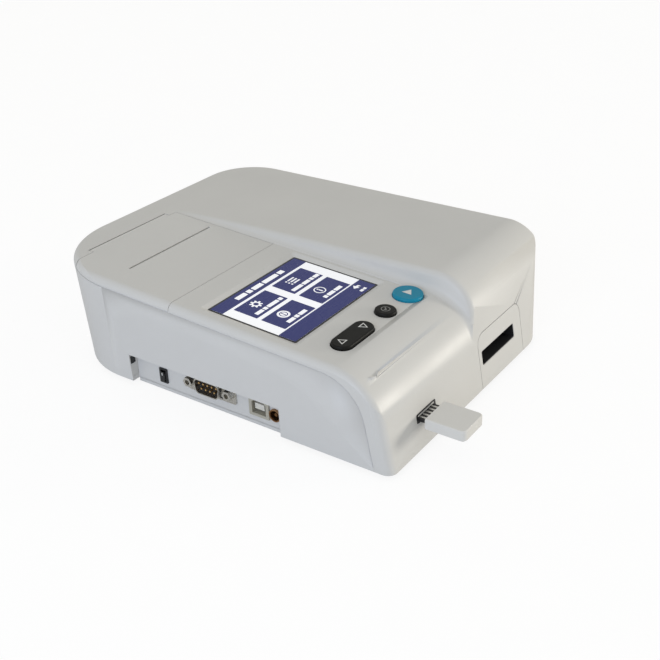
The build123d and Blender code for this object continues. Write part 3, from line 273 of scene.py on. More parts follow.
def mark(x, y, outline, hole=None, level=3):
    """One white mark on the picture."""
    marks.append(plate("mark", glass_origin, (x, y), outline, level * layer, hole))


left_x, right_x = (x + sign_side for x in tile_columns)
high_y, low_y = (y + sign_rise for y in tile_rows)
mark(left_x, high_y, cog(3.3 * mm, 8, 1.1 * mm), circle(1.35 * mm))
for row in (-1, 0, 1):
    mark(right_x + 0.7 * mm, high_y + row * 1.9 * mm, rounded_box(4.9 * mm, 0.95 * mm, 40))
    mark(right_x - 3.1 * mm, high_y + row * 1.9 * mm, rounded_box(1.2 * mm, 0.95 * mm, 40))
mark(left_x, low_y, circle(3.3 * mm))
mark(right_x, low_y, circle(3.2 * mm), circle(2.6 * mm))
mark(right_x, low_y - 0.6 * mm, rounded_box(0.9 * mm, 2.4 * mm, 20))
mark(right_x, low_y + 1.4 * mm, circle(0.55 * mm))
print("signs:", len(marks))

# %% Bars that stand for words


def word_bars(x, y, widths, height, gap):
    """A row of short bars, centred on x."""
    reach = sum(widths) + gap * (len(widths) - 1)
    starts = np.cumsum([0] + [w + gap for w in widths[:-1]]) - reach / 2 + x
    for start, width in zip(starts, widths):
        mark(start + width / 2, y, rounded_box(width, height, 20))


short, middling, long = 2.4 * mm, 5.4 * mm, 8.0 * mm
words = [[middling, short, long, short], [middling, short, middling],
         [long, middling, short, 4.0 * mm], [short, middling, middling]]
bar_gap = 0.7 * mm
places = [(x, y) for x in tile_columns for y in tile_rows]
for (x, y), widths in zip(places, words):
    word_bars(x + 0.8 * mm, y - 4.3 * mm, widths, 2.3 * mm, bar_gap)
title_y = (screen_height - strip_height) / 2
title_words = [7.4 * mm, 3.2 * mm, 7.4 * mm, 11.2 * mm, 4.0 * mm]
word_bars(0, title_y, title_words, 2.9 * mm, 1.1 * mm)
bar_y = -(screen_height - bar_height) / 2
word_bars(26.4 * mm, bar_y - 2.4 * mm, [short, 1.8 * mm], 1.6 * mm, 0.5 * mm)
arrow = polygon([(-2.2, 0.2), (0.4, 2.2), (0.4, 1.0), (2.2, 0.6), (2.4, -1.2), (1.4, -0.4),
                 (0.4, -0.5), (0.4, -1.6)]) * mm
mark(26.4 * mm, bar_y + 1.6 * mm, arrow)
picture_marks = join("picture_marks", marks)
dial_place = (left_x, low_y)
dial_ring = plate("ring", glass_origin, dial_place, circle(2.2 * mm), 4 * layer, circle(1.7 * mm))
dial_hand = plate("hand", glass_origin, dial_place, rounded_box(0.55 * mm, 3.0 * mm, 20), 4 * layer)
picture_dial = join("picture_dial", [dial_ring, dial_hand])
print("white marks:", len(picture_marks.data.vertices), "vertices")

# %% [markdown]
# ## Marks on the keys
#
# The black rocker key carries two outlined triangles, one for up and one for down. The small
# round key has a tick, and the blue key a filled triangle that points onwards. They are
# printed flush on the real keys, so here they are plates laid just above each key's top.

# %% Key tops and their marks


def key_top(node):
    """Middle of a key's top, a hair above it."""
    points = vertices_of(node)
    heights = points @ panel_normal
    flat = points[heights > heights.max() - 0.01 * mm]
    return (flat.min(axis=0) + flat.max(axis=0)) / 2 + panel_normal * layer


def triangle(size, angle):
    """Corners on a circle of the given size, the first one at the angle."""
    stops = math.radians(angle) + np.array([0, 2, 4]) * math.pi / 3
    return [(size * math.cos(a), size * math.sin(a)) for a in stops]


rocker_top = key_top("rocker_key")
confirm_top = key_top("confirm_key")
start_top = key_top("start_key")
triangle_reach = 2.7 * mm
triangle_hole = 0.66                    # the hole's share of the triangle
side = 8.6 * mm                         # from the rocker's middle to either triangle
rocker_marks = []
for place, angle in (((-side, 0.0), 90), ((side, 0.0), -90)):
    outline = polygon(triangle(triangle_reach, angle))
    rocker_marks.append(plate("triangle", rocker_top, place, outline, layer,
                              outline * triangle_hole))
rocker_print = join("rocker_print", rocker_marks)
ring = plate("ring", confirm_top, (0, 0), circle(2.3 * mm), layer, circle(1.9 * mm))
tick = polygon([(-1.3, 0.1), (-0.9, 0.5), (-0.35, -0.1), (0.95, 1.2), (1.35, 0.8),
                (-0.35, -0.95)])
tick = plate("tick", confirm_top, (0, 0), tick * mm, layer)
confirm_print = join("confirm_print", [ring, tick])
start_print = plate("start_print", start_top, (0, 0), polygon(triangle(3.1 * mm, 0)), layer)
for printed, body in ((rocker_print, "rocker_button"), (confirm_print, "confirm_button"),
                      (start_print, "start_button")):
    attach(printed, body)
for lit in (picture_field, picture_blue, picture_marks, picture_dial):
    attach(lit, "chassis")
print("key tops:", rocker_top.round(4), confirm_top.round(4), start_top.round(4))

# %% [markdown]
# ## Contact strips of the code chip
#
# The chip's dark tongue carries five pale contact strips that run into the slot. Each is a
# shallow ridge: its height is a flattened half wave across the strip.

# %% Contact strips

tongue_low, tongue_high = (np.array(v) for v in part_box("chip_tongue"))
strip_count = 5
strip_width = 1.15 * mm
strip_rise = 0.05 * mm
strip_sink = 0.02 * mm                  # how far the underside lies in the tongue
strip_start, strip_end = 8.2 * mm, 0.4 * mm
profile_points = 13


def contact_strip(middle_x):
    """A long plate whose top is h (1 - (2 u)^6) over its width u and whose underside is flat."""
    u = np.linspace(-0.5, 0.5, profile_points)
    y = np.linspace(tongue_low[1] + strip_start, tongue_high[1] - strip_end, 5)
    top = strip_rise * (1 - (2 * u) ** 6)
    ring_x = np.concatenate([u, u[::-1]]) * strip_width + middle_x
    ring_z = np.concatenate([top, np.full(profile_points, -strip_sink)]) + tongue_high[2]
    return carried("strip", [np.stack([ring_x, np.full(len(ring_x), v), ring_z], axis=-1)
                             for v in y])


tongue_middle = (tongue_low[0] + tongue_high[0]) / 2
tongue_pitch = (tongue_high[0] - tongue_low[0]) / (strip_count + 0.4)
tongue_strips = join("tongue_strips", [
    contact_strip(tongue_middle + (n - (strip_count - 1) / 2) * tongue_pitch)
    for n in range(strip_count)
])
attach(tongue_strips, "chip_set")
print("contact strips:", strip_count)

# %% [markdown]
# ## The mark on the power switch
#
# One end of the small rocker has a white stroke: a thin closed box laid on the rocker's face.

# %% Power mark

rocker_low, rocker_high = (np.array(v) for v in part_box("power_rocker"))


def bar_on_left(middle, width, height, depth):
    """A closed box as a grid: four corners round, ends shrunk to their middle."""
    y = np.array([-1, 1, 1, -1]) * width / 2
    z = np.array([-1, -1, 1, 1]) * height / 2
    slices = [(0, 0.0), (0, 1.0), (depth, 1.0), (depth, 0.0)]
    grid = np.stack([
        np.stack([np.full(4, middle[0] - x), middle[1] + y * s, middle[2] + z * s], axis=-1)
        for x, s in slices
    ])
    return grid_mesh("power_mark", grid, close_rows=False)


mark_middle = np.array([
    rocker_low[0] + 0.32 * mm,
    (rocker_low[1] + rocker_high[1]) / 2,
    rocker_high[2] - 1.5 * mm,
])
power_mark = bar_on_left(mark_middle, 0.5 * mm, 1.5 * mm, 0.12 * mm)
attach(power_mark, "power_rocker_set")
print("power mark at", mark_middle.round(4))

# %% [markdown]
# ## The web of ticket paper
#
# Under the lid the paper leaves the top of the roll, passes under and behind the platen
# roller and ends just below the slot. It is a profile (the paper's width) carried along a path
# of three stretches: a slanting straight run, a bend round the roller and a straight rise.

# %% Paper web

roll_low, roll_high = (np.array(v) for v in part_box("paper_roll"))
platen_low, platen_high = (np.array(v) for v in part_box("platen_roller"))
roll_middle = (roll_low + roll_high) / 2
platen_middle = (platen_low + platen_high) / 2
roll_radius = (roll_high[2] - roll_low[2]) / 2
platen_radius = (platen_high[2] - platen_low[2]) / 2
paper_half = 0.03 * mm
roll_clearance, platen_clearance = 0.1 * mm, 0.12 * mm
web_end_z = float(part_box("printer_lid")[1][2]) - 7.2 * mm


def web_path(stations=60):
    """A tangent line from the roll's top across to the roller's underside, a bend round the
    roller's far side and a straight rise: cos(top - heading) = (inner + outer) / gap."""
    reach = platen_middle - roll_middle
    gap = math.hypot(reach[1], reach[2])
    inner = roll_radius + roll_clearance
    outer = platen_radius + platen_clearance
    top = math.atan2(reach[2], reach[1]) + math.acos((inner + outer) / gap)
    leave = roll_middle[1:] + inner * np.array([math.cos(top), math.sin(top)])
    bend = np.linspace(top - math.pi, 0.0, stations // 2)
    arc = np.stack([platen_middle[1] + outer * np.cos(bend),
                    platen_middle[2] + outer * np.sin(bend)], axis=-1)
    upward = np.array([0.0, web_end_z - arc[-1][1]])
    rise = arc[-1] + np.linspace(0.0, 1.0, 8)[1:, None] * upward
    run = leave + np.linspace(0.0, 1.0, stations // 2)[:-1, None] * (arc[0] - leave)
    return np.concatenate([run, arc, rise])


path = web_path()
along = np.gradient(path, axis=0)
along /= np.linalg.norm(along, axis=1)[:, None]
sideways = np.stack([-along[:, 1], along[:, 0]], axis=-1)
web_x = np.array([roll_low[0], roll_high[0], roll_high[0], roll_low[0]])
web_side = np.array([-1, -1, 1, 1]) * paper_half
web = np.stack([
    np.broadcast_to(web_x, (len(path), 4)),
    path[:, 0, None] + sideways[:, 0, None] * web_side,
    path[:, 1, None] + sideways[:, 1, None] * web_side,
], axis=-1)
paper_web = carried("paper_web", web)
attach(paper_web, "chassis")
print("paper web stations:", len(path), "ends at height", round(web_end_z, 4))

# %% [markdown]
# ## The socket bay, open towards the table
#
# The sockets sit in a bay that is open underneath: its back plate runs down to the case's
# lower edge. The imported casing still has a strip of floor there. A copy of its mesh is cut
# with a block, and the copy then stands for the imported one. The copy is merged first, because
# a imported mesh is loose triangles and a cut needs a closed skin.

# %% Opening the bay

cutter_margin = 5 * mm                  # how far the cutting block reaches past the casing
cutter_overlap = 0.5 * mm               # how far it reaches up over the back plate's foot
sharp_angle = math.radians(20)
casing_low, casing_high = (np.array(v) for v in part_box("lower_casing"))
plate_low, plate_high = (np.array(v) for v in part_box("port_plate"))


def block(name, low, high):
    """A closed box from a low to a high corner, as a grid of four rows shrunk at both ends."""
    x = np.array([low[0], high[0], high[0], low[0]])
    y = np.array([low[1], low[1], high[1], high[1]])
    middle = np.array([x.mean(), y.mean()])
    rows = []
    for height, share in ((low[2], 0.0), (low[2], 1.0), (high[2], 1.0), (high[2], 0.0)):
        flat = [middle[0] + (x - middle[0]) * share, middle[1] + (y - middle[1]) * share]
        rows.append(np.stack(flat + [np.full(4, height)], axis=-1))
    return grid_mesh(name, np.stack(rows), close_rows=False)


def merged_copy(node, name):
    """A frame node's mesh as a new object, doubled vertices merged, its shading normals kept."""
    mesh = nodes[node].data.copy()
    normals = np.empty(len(mesh.loops) * 3)
    mesh.corner_normals.foreach_get("vector", normals)
    work = bmesh.new()
    work.from_mesh(mesh)
    bmesh.ops.remove_doubles(work, verts=work.verts, dist=merge_distance)
    work.to_mesh(mesh)
    work.free()
    if len(mesh.loops) * 3 == len(normals):
        mesh.normals_split_custom_set(normals.reshape(-1, 3))
    return add_object(name, mesh)


def cut(thing, cutter):
    """Takes the cutter's solid away from a closed mesh and removes the cutter."""
    modifier = thing.modifiers.new("cut", "BOOLEAN")
    modifier.object = cutter
    modifier.solver = "EXACT"
    graph = bpy.context.evaluated_depsgraph_get()
    result = bpy.data.meshes.new_from_object(thing.evaluated_get(graph))
    thing.modifiers.clear()
    thing.data = result
    result.shade_smooth()
    result.set_sharp_from_angle(angle=sharp_angle)
    bpy.data.objects.remove(cutter)


open_casing = merged_copy("lower_casing", "open_casing")
before = len(open_casing.data.vertices)
cut(open_casing, block(
    "bay_cutter",
    (casing_low[0] - cutter_margin, plate_low[1], casing_low[2] - cutter_margin),
    (plate_low[0], plate_high[1], plate_low[2] + cutter_overlap),
))
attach(open_casing, "chassis")
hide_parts("lower_casing")
print("casing vertices:", before, "then", len(open_casing.data.vertices))

# %% [markdown]
# ## The cover near the left front screw
#
# The bend of the cover has a small mark at the left front, close to a screw. In a merged copy
# of the cover, vertices level with the screw post's top are let down where another vertex
# lies straight below them. This was a try at the mark, which still shows.

# %% Lowering vertices near the screw

screw_points = vertices_of("casing_screws")
left_front = screw_points[screw_points[:, 0] < -60 * mm]
post_x, post_y = (left_front.min(axis=0) + left_front.max(axis=0))[:2] / 2
post_top = 46.5 * mm
post_reach = 8 * mm                     # how far round the post vertices are looked for
plumb = 0.03 * mm                       # a vertex this close sideways counts as straight below
least_drop, most_drop = 0.02 * mm, 8 * mm
no_partner = -1.0
smooth_cover = merged_copy("upper_cover", "smooth_cover")
points = mesh_points(smooth_cover.data)
near_post = np.hypot(points[:, 0] - post_x, points[:, 1] - post_y) < post_reach
rim = np.flatnonzero(near_post & (np.abs(points[:, 2] - post_top) < 0.01 * mm))
offset = points[None, :, :] - points[rim][:, None, :]
straight = np.hypot(offset[..., 0], offset[..., 1]) < plumb
below = straight & (offset[..., 2] < -least_drop) & (offset[..., 2] > -most_drop)
drop = np.where(below, offset[..., 2], no_partner).max(axis=1)
found = drop > -most_drop
points[rim, 2] += np.where(found, drop, 0.0)
smooth_cover.data.vertices.foreach_set("co", points.ravel())
smooth_cover.data.update()
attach(smooth_cover, "chassis")
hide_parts("upper_cover")
print("vertices let down:", int(found.sum()), "of", len(rim))

# %% [markdown]
# ## A strip behind the lid's hinge
#
# Behind the hinge barrel the cover is cut back so that the barrel can turn. A thin strip
# fills most of that groove: its underside follows the barrel at a small distance and its top
# is flush with the cover. It is a profile carried along the hinge.

# %% Hinge strip

pin_low, pin_high = (np.array(v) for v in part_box("lid_hinge_pin"))
hinge_y, hinge_z = (pin_low[1] + pin_high[1]) / 2, (pin_low[2] + pin_high[2]) / 2
cover_top = float(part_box("upper_cover")[1][2])
barrel_radius = cover_top - hinge_z
strip_gap = 0.25 * mm
strip_rear = hinge_y + barrel_radius + 0.42 * mm
strip_left, strip_right = pin_low[0] + 4.6 * mm, pin_high[0] - 3.6 * mm
lowest_angle = math.radians(78)         # where the underside leaves the circle, from upright


def hinge_strip_profile():
    """From the edge where a circle round the barrel meets the cover's top, down that circle."""
    reach = barrel_radius + strip_gap
    first = math.acos(barrel_radius / reach)
    angles = np.linspace(first, lowest_angle, 16)
    y = hinge_y + reach * np.sin(angles)
    z = hinge_z + reach * np.cos(angles)
    y = np.concatenate([y, [strip_rear, strip_rear]])
    z = np.concatenate([z, [z[-1], cover_top]])
    return np.minimum(y, strip_rear), z


profile_y, profile_z = hinge_strip_profile()
hinge_strip = carried("hinge_strip", [
    np.stack([np.full(len(profile_y), x), profile_y, profile_z], axis=-1)
    for x in (strip_left, strip_right)
])
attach(hinge_strip, "chassis")
print("hinge strip from", round(strip_left, 4), "to", round(strip_right, 4))

# %% [markdown]
# ## The dark lining of the test slot
#
# The slot in the front is black right up to its edge. A thin sleeve lines it: a rounded
# rectangle carried straight back, with an inner and an outer wall joined at both ends.

# %% Slot sleeve

tray_box_low, tray_box_high = (np.array(v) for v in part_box("tray"))
slot_middle = (tray_box_low + tray_box_high) / 2
slot_width = (tray_box_high[0] - tray_box_low[0]) + 1.4 * mm
slot_height = (tray_box_high[2] - tray_box_low[2]) + 1.4 * mm
sleeve_wall = 0.35 * mm
sleeve_clearance = 0.02 * mm
sleeve_power = 24.0                     # how square the sleeve's corners are
edge_band = 0.2 * mm                    # this close to the cover's ends counts as its end


def front_at(height):
    """The front face's y at a height, read off the port cover's lowest and highest points."""
    points = vertices_of("port_cover")
    low, high = points[:, 2].min(), points[:, 2].max()
    y_low = points[points[:, 2] < low + edge_band][:, 1].min()
    y_high = points[points[:, 2] > high - edge_band][:, 1].min()
    return y_low + (height - low) * (y_high - y_low) / (high - low)


def sleeve(depth=8.0 * mm, start=0.25 * mm):
    """Rounded rectangle carried back: outer wall out and back, inner wall forwards again."""
    outer = rounded_box(slot_width - sleeve_clearance, slot_height - sleeve_clearance,
                        sleeve_power)
    inner = rounded_box(slot_width - 2 * sleeve_wall, slot_height - 2 * sleeve_wall,
                        sleeve_power)
    front = front_at(slot_middle[2] + outer[:, 1]) + start
    front_inner = front_at(slot_middle[2] + inner[:, 1]) + start
    rear = np.full(len(outer), front_at(slot_middle[2]) + depth)
    rows = [(outer, front), (outer, rear), (inner, rear), (inner, front_inner)]
    grid = np.stack([
        np.stack([slot_middle[0] + flat[:, 0], y, slot_middle[2] + flat[:, 1]], axis=-1)
        for flat, y in rows
    ])
    return grid_mesh("slot_sleeve", grid)


slot_sleeve = sleeve()
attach(slot_sleeve, "chassis")
print("slot sleeve front at", round(float(front_at(slot_middle[2])), 5))

# %% [markdown]
# ## Small parts round the openings
#
# Two openings have a dark frame: the slot of the code chip and the serial socket between its
# two screws. A third dark plate, without a hole, is painted shade at the top of the socket bay's
# rear end. Each is a flat plate set against an upright face.

# %% Upright plates


def upright_plate(name, spot, outline, hole, thickness):
    """Rows: inner front, outer front, outer back, inner back; spot(u, v, out) gives x, y, z."""
    inner = outline * 0 if hole is None else hole
    rows = [(inner, thickness), (outline, thickness), (outline, 0.0), (inner, 0.0)]
    return grid_mesh(name, np.stack([
        np.stack(np.broadcast_arrays(*spot(flat[:, 0], flat[:, 1], out)), axis=-1)
        for flat, out in rows
    ]))


chip_slot_z = (tongue_low[2] + tongue_high[2]) / 2 + 0.5 * mm
chip_slot_width = tongue_high[0] - tongue_low[0] + 0.2 * mm
chip_slot_height = tongue_high[2] - tongue_low[2] + 1.4 * mm


def on_front(u, v, out):
    """On the leaning front face, round the chip's slot."""
    height = chip_slot_z + v
    return tongue_middle + u, front_at(height) - out, height


chip_frame = upright_plate("chip_frame", on_front, rounded_box(17.4 * mm, 4.8 * mm, 10),
                           rounded_box(chip_slot_width, chip_slot_height, 30), 0.05 * mm)

serial_low, serial_high = (np.array(v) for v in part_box("serial_insert"))
serial_y, serial_z = (serial_low[1:] + serial_high[1:]) / 2
shell_points = vertices_of("serial_shell")
flange_side = 10 * mm                   # further out than this is flange, not shell
flange_points = shell_points[np.abs(shell_points[:, 1] - serial_y) > flange_side]
flange_x = flange_points[:, 0].min()


def on_flange(u, v, out):
    """Just in front of the serial socket's flange."""
    return flange_x - out, serial_y - u, serial_z + v


serial_frame = upright_plate("serial_frame", on_flange, rounded_box(20.6 * mm, 10.4 * mm, 12),
                             rounded_box(17.2 * mm, 8.7 * mm, 10), 0.1 * mm)
# Where the painted shade at the top of the bay's rear end wall goes.
bay_shade_x = plate_low[0] - 3.0 * mm
bay_shade_z = 14.8 * mm


def on_bay_end(u, v, out):
    """On the bay's rear end wall, which faces the front."""
    return bay_shade_x + u, plate_high[1] - out, bay_shade_z + v


# A dark plate at the top of the bay's rear end wall: painted shade, not a part of the case.
bay_end_shade = upright_plate("bay_end_shade", on_bay_end, rounded_box(3.3 * mm, 4.4 * mm, 10),
                          None, 0.08 * mm)
skirt_inset = 0.1 * mm
skirt_foot, skirt_depth, skirt_overlap = 0.5 * mm, 2 * mm, 0.2 * mm
plate_skirt = block(
    "plate_skirt",
    (plate_low[0], plate_low[1] + skirt_inset, skirt_foot),
    (plate_low[0] + skirt_depth, plate_high[1] - skirt_inset, casing_low[2] + skirt_overlap),
)
for thing in (chip_frame, serial_frame, bay_end_shade, plate_skirt):
    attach(thing, "chassis")
print("frames round openings: 3, serial socket middle", round(serial_y, 4), round(serial_z, 4))

# %% [markdown]
# ## Finishes
#
# Nearly everything that shows is moulded plastic. Real mouldings are not one flat grey: the
# tool leaves a fine grain, handling leaves slightly glossier patches. One function builds
# such a plastic from noise on Object coordinates, which stay put because every frame piece
# has its place in its vertices. Metals get fine brushing or turning lines instead.

# %% A node helper


def new_material(name):
    """An empty material and its shader, with links that read well."""
    material = bpy.data.materials.new(name)
    material.use_nodes = True
    tree = material.node_tree
    return material, tree, tree.nodes["Principled BSDF"]


def noise(tree, scale, detail=3.0, stretch=(1, 1, 1)):
    """Noise on Object coordinates, in cycles per metre, stretched along the axes."""
    place = tree.nodes.new("ShaderNodeTexCoord")
    mapping = tree.nodes.new("ShaderNodeMapping")
    mapping.inputs["Scale"].default_value = stretch
    texture = tree.nodes.new("ShaderNodeTexNoise")
    texture.inputs["Scale"].default_value = scale
    texture.inputs["Detail"].default_value = detail
    tree.links.new(place.outputs["Object"], mapping.inputs["Vector"])
    tree.links.new(mapping.outputs["Vector"], texture.inputs["Vector"])
    return texture.outputs["Fac"]


def spread_value(tree, source, low, high):
    """Maps a noise value from 0.3..0.7 to low..high."""
    node = tree.nodes.new("ShaderNodeMapRange")
    node.inputs["From Min"].default_value = 0.3
    node.inputs["From Max"].default_value = 0.7
    node.inputs["To Min"].default_value = low
    node.inputs["To Max"].default_value = high
    tree.links.new(source, node.inputs["Value"])
    return node.outputs["Result"]


def spread_colour(tree, source, low, high):
    """A ramp between two colours over a noise value."""
    ramp = tree.nodes.new("ShaderNodeValToRGB")
    ramp.color_ramp.elements[0].position = 0.3
    ramp.color_ramp.elements[1].position = 0.7
    ramp.color_ramp.elements[0].color = (*low, 1)
    ramp.color_ramp.elements[1].color = (*high, 1)
    tree.links.new(source, ramp.inputs["Fac"])
    return ramp.outputs["Color"]


def bump(tree, source, depth, strength=0.4):
    """A bump from a height value; depth in metres."""
    node = tree.nodes.new("ShaderNodeBump")
    node.inputs["Strength"].default_value = strength
    node.inputs["Distance"].default_value = depth
    tree.links.new(source, node.inputs["Height"])
    return node.outputs["Normal"]


def moulded(name, colour, roughness, grain=0.02 * mm, tone=0.015, specular=0.5):
    """Moulded plastic: fine grain, faint drift of tone, slightly uneven gloss."""
    material, tree, shader = new_material(name)
    drift = noise(tree, 22.0, 4.0)
    low = tuple(max(0.0, c * (1 - tone)) for c in colour)
    high = tuple(min(1.0, c * (1 + tone)) for c in colour)
    tree.links.new(spread_colour(tree, drift, low, high), shader.inputs["Base Color"])
    wear = noise(tree, 60.0, 5.0)
    gloss = spread_value(tree, wear, roughness - 0.03, roughness + 0.04)
    tree.links.new(gloss, shader.inputs["Roughness"])
    fine = noise(tree, 2600.0, 2.0)
    tree.links.new(bump(tree, fine, grain), shader.inputs["Normal"])
    shader.inputs["Specular IOR Level"].default_value = specular
    return material


def metal(name, colour, roughness, stretch=(1, 1, 1), scale=700.0, depth=0.01 * mm):
    """Metal with fine lines along one axis: noise stretched along it."""
    material, tree, shader = new_material(name)
    lines = noise(tree, scale, 3.0, stretch)
    low = tuple(c * 0.93 for c in colour)
    tree.links.new(spread_colour(tree, lines, low, colour), shader.inputs["Base Color"])
    gloss = spread_value(tree, lines, roughness, roughness + 0.12)
    tree.links.new(gloss, shader.inputs["Roughness"])
    tree.links.new(bump(tree, lines, depth), shader.inputs["Normal"])
    shader.inputs["Metallic"].default_value = 1.0
    return material


print("finish helpers ready")

# %% [markdown]
# ### Which piece has which finish
#
# The upper cover, the lid and the port cover are one warm white moulding; the lower casing
# is the same plastic. Keys are darker and smoother, the inner parts are what such parts
# usually are: green boards, black frames, steel screws and brass contacts.

# %% Materials

finishes = {
    "case_white": moulded("case_white", (0.63, 0.625, 0.605), 0.42),
    "lower_white": moulded("lower_white", (0.63, 0.625, 0.61), 0.42),
    "chip_white": moulded("chip_white", (0.70, 0.69, 0.66), 0.38),
    "key_black": moulded("key_black", (0.009, 0.009, 0.008), 0.42, specular=0.16),
    "key_blue": moulded("key_blue", (0.004, 0.235, 0.37), 0.36, specular=0.25),
    "black_plastic": moulded("black_plastic", (0.014, 0.014, 0.015), 0.45),
    "tray_black": moulded("tray_black", (0.02, 0.02, 0.022), 0.5),
    "foot_rubber": moulded("foot_rubber", (0.02, 0.02, 0.02), 0.8, grain=0.06 * mm),
    "roller_rubber": moulded("roller_rubber", (0.03, 0.03, 0.03), 0.7, grain=0.05 * mm),
    "socket_beige": moulded("socket_beige", (0.66, 0.64, 0.58), 0.4),
    "shell_beige": moulded("shell_beige", (0.42, 0.40, 0.33), 0.3),
    "gear_plastic": moulded("gear_plastic", (0.72, 0.71, 0.66), 0.35),
    "board_green": moulded("board_green", (0.01, 0.12, 0.045), 0.35,
                           grain=0.03 * mm, tone=0.12),
    "ticket_paper": moulded("ticket_paper", (0.86, 0.86, 0.84), 0.85,
                            grain=0.03 * mm, tone=0.02),
    "screw_steel": metal("screw_steel", (0.55, 0.55, 0.54), 0.28),
    "motor_steel": metal("motor_steel", (0.48, 0.48, 0.47), 0.3, (1, 1, 12)),
    "shaft_steel": metal("shaft_steel", (0.62, 0.62, 0.61), 0.18, (20, 1, 1)),
    "plated_shell": metal("plated_shell", (0.62, 0.60, 0.55), 0.22, (1, 4, 1)),
    "contact_brass": metal("contact_brass", (0.72, 0.47, 0.20), 0.22),
    "jack_copper": metal("jack_copper", (0.40, 0.24, 0.13), 0.4),
    # The jack's inner contacts: the jack's brass made darker, painted shade deep inside the socket.
    "jack_inner_shade": metal("jack_inner_shade", (0.25, 0.13, 0.06), 0.4),
    "cell_steel": metal("cell_steel", (0.68, 0.68, 0.66), 0.2),
    "head_black": metal("head_black", (0.05, 0.05, 0.055), 0.4),
}
print("finishes:", len(finishes))

# %% [markdown]
# ### The lit glass
#
# The touch panel is smooth and a little darker than the picture on it. It gets a low, even
# roughness with faint smears, and no tint that would hide the picture.

# %% Screen materials


def lit(name, colour, glow, roughness=0.22):
    """A lit area: its colour shines a little by itself and still takes reflections."""
    material, tree, shader = new_material(name)
    smear = noise(tree, 45.0, 4.0, (1, 3, 1))
    gloss = spread_value(tree, smear, roughness, roughness + 0.1)
    tree.links.new(gloss, shader.inputs["Roughness"])
    rows_of_dots = noise(tree, 3400.0, 1.0)
    low = tuple(c * 0.96 for c in colour)
    tone = spread_colour(tree, rows_of_dots, low, colour)
    tree.links.new(tone, shader.inputs["Base Color"])
    tree.links.new(tone, shader.inputs["Emission Color"])
    shader.inputs["Emission Strength"].default_value = glow
    shader.inputs["Specular IOR Level"].default_value = 0.25
    return material


finishes["picture_white"] = lit("picture_white", (0.86, 0.87, 0.90), 0.38)
finishes["picture_blue"] = lit("picture_blue", (0.030, 0.037, 0.150), 0.25)
finishes["screen_dark"] = moulded("screen_dark", (0.012, 0.013, 0.018), 0.25, grain=0.002 * mm)
finishes["print_white"] = moulded("print_white", (0.72, 0.72, 0.70), 0.5, grain=0.01 * mm)
finishes["print_grey"] = moulded("print_grey", (0.22, 0.22, 0.21), 0.5, grain=0.01 * mm)
print("finishes:", len(finishes))

# %% Every frame node and new piece gets its finish

finish_of = {
    "case_white": ["upper_cover", "printer_lid", "port_cover"],
    "lower_white": ["lower_casing", "port_plate"],
    "chip_white": ["code_chip"],
    "key_black": ["rocker_key", "confirm_key"],
    "key_blue": ["start_key"],
    "black_plastic": [
        "display_module", "key_switches", "serial_insert", "power_switch", "power_rocker",
        "port_board_parts", "chip_tongue", "chip_socket", "printer_frame", "tray_base",
        "board_chips", "cell_holder",
    ],
    "tray_black": ["tray"],
    "foot_rubber": ["rubber_feet"],
    "roller_rubber": ["platen_roller"],
    "socket_beige": ["usb_insert"],
    "gear_plastic": ["platen_gear", "paper_spool", "tray_rack", "drive_pinion"],
    "board_green": ["key_board", "port_board", "main_board"],
    "ticket_paper": ["paper_roll"],
    "screw_steel": [
        "casing_screws", "key_board_screws", "printer_screws", "tray_screws", "board_screws",
        "display_bracket", "motor_bracket",
    ],
    "motor_steel": ["printer_motor", "drive_motor", "photodiode"],
    "shaft_steel": ["lid_hinge_pin", "platen_shaft", "drive_shaft"],
    "plated_shell": ["serial_shell", "jack_screws"],
    "shell_beige": ["usb_shell"],
    "jack_copper": ["power_jack"],
    "contact_brass": ["serial_pins", "socket_contacts", "printer_pinion"],
    # The inner contacts take the darker brass that paints the shade inside the jack.
    "jack_inner_shade": ["jack_contacts"],
    "cell_steel": ["coin_cell"],
    "head_black": ["thermal_head", "optics_housing"],
    "screen_dark": ["touch_panel", "optics_lenses", "led_emitter"],
}
for finish, names in finish_of.items():
    for name in names:
        mesh = nodes[name].data
        mesh.materials.clear()
        mesh.materials.append(finishes[finish])
new_pieces = {
    "lower_white": [open_casing, plate_skirt],
    "case_white": [smooth_cover, hinge_strip],
    # The plate at the bay's rear end is painted shade, so it takes the black plastic too.
    "black_plastic": [slot_sleeve, chip_frame, serial_frame, bay_end_shade],
    "picture_white": [picture_field, picture_marks],
    "picture_blue": [picture_blue, picture_dial],
    "print_white": [rocker_print, start_print, power_mark],
    "print_grey": [confirm_print],
    "cell_steel": [tongue_strips],
    "ticket_paper": [paper_web],
}
for finish, things in new_pieces.items():
    for thing in things:
        thing.data.materials.clear()
        thing.data.materials.append(finishes[finish])
slots = {"screen_glass": [picture_field, picture_marks, picture_blue, picture_dial],
         "contact_brass": [tongue_strips], "paper": [paper_web]}
for slot_name, things in slots.items():
    for thing in things:
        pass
plain = sorted(set(nodes) - {name for names in finish_of.values() for name in names})
print("nodes without a finish:", plain)

# %% [markdown]
# ## Floor, light and camera
#
# The photograph shows the reader on white. The floor is a large pale sheet that curves up
# behind the reader, one surface along a path. It is matte and glows a little
# towards the camera, so that it looks white and still holds the reader's shadow.

# %% Floor sheet

floor_reach = 3.0
bend_radius = 1.2
wall_height = 2.5
floor_heading = np.array([0.713, 0.511])        # away from the camera, in plan


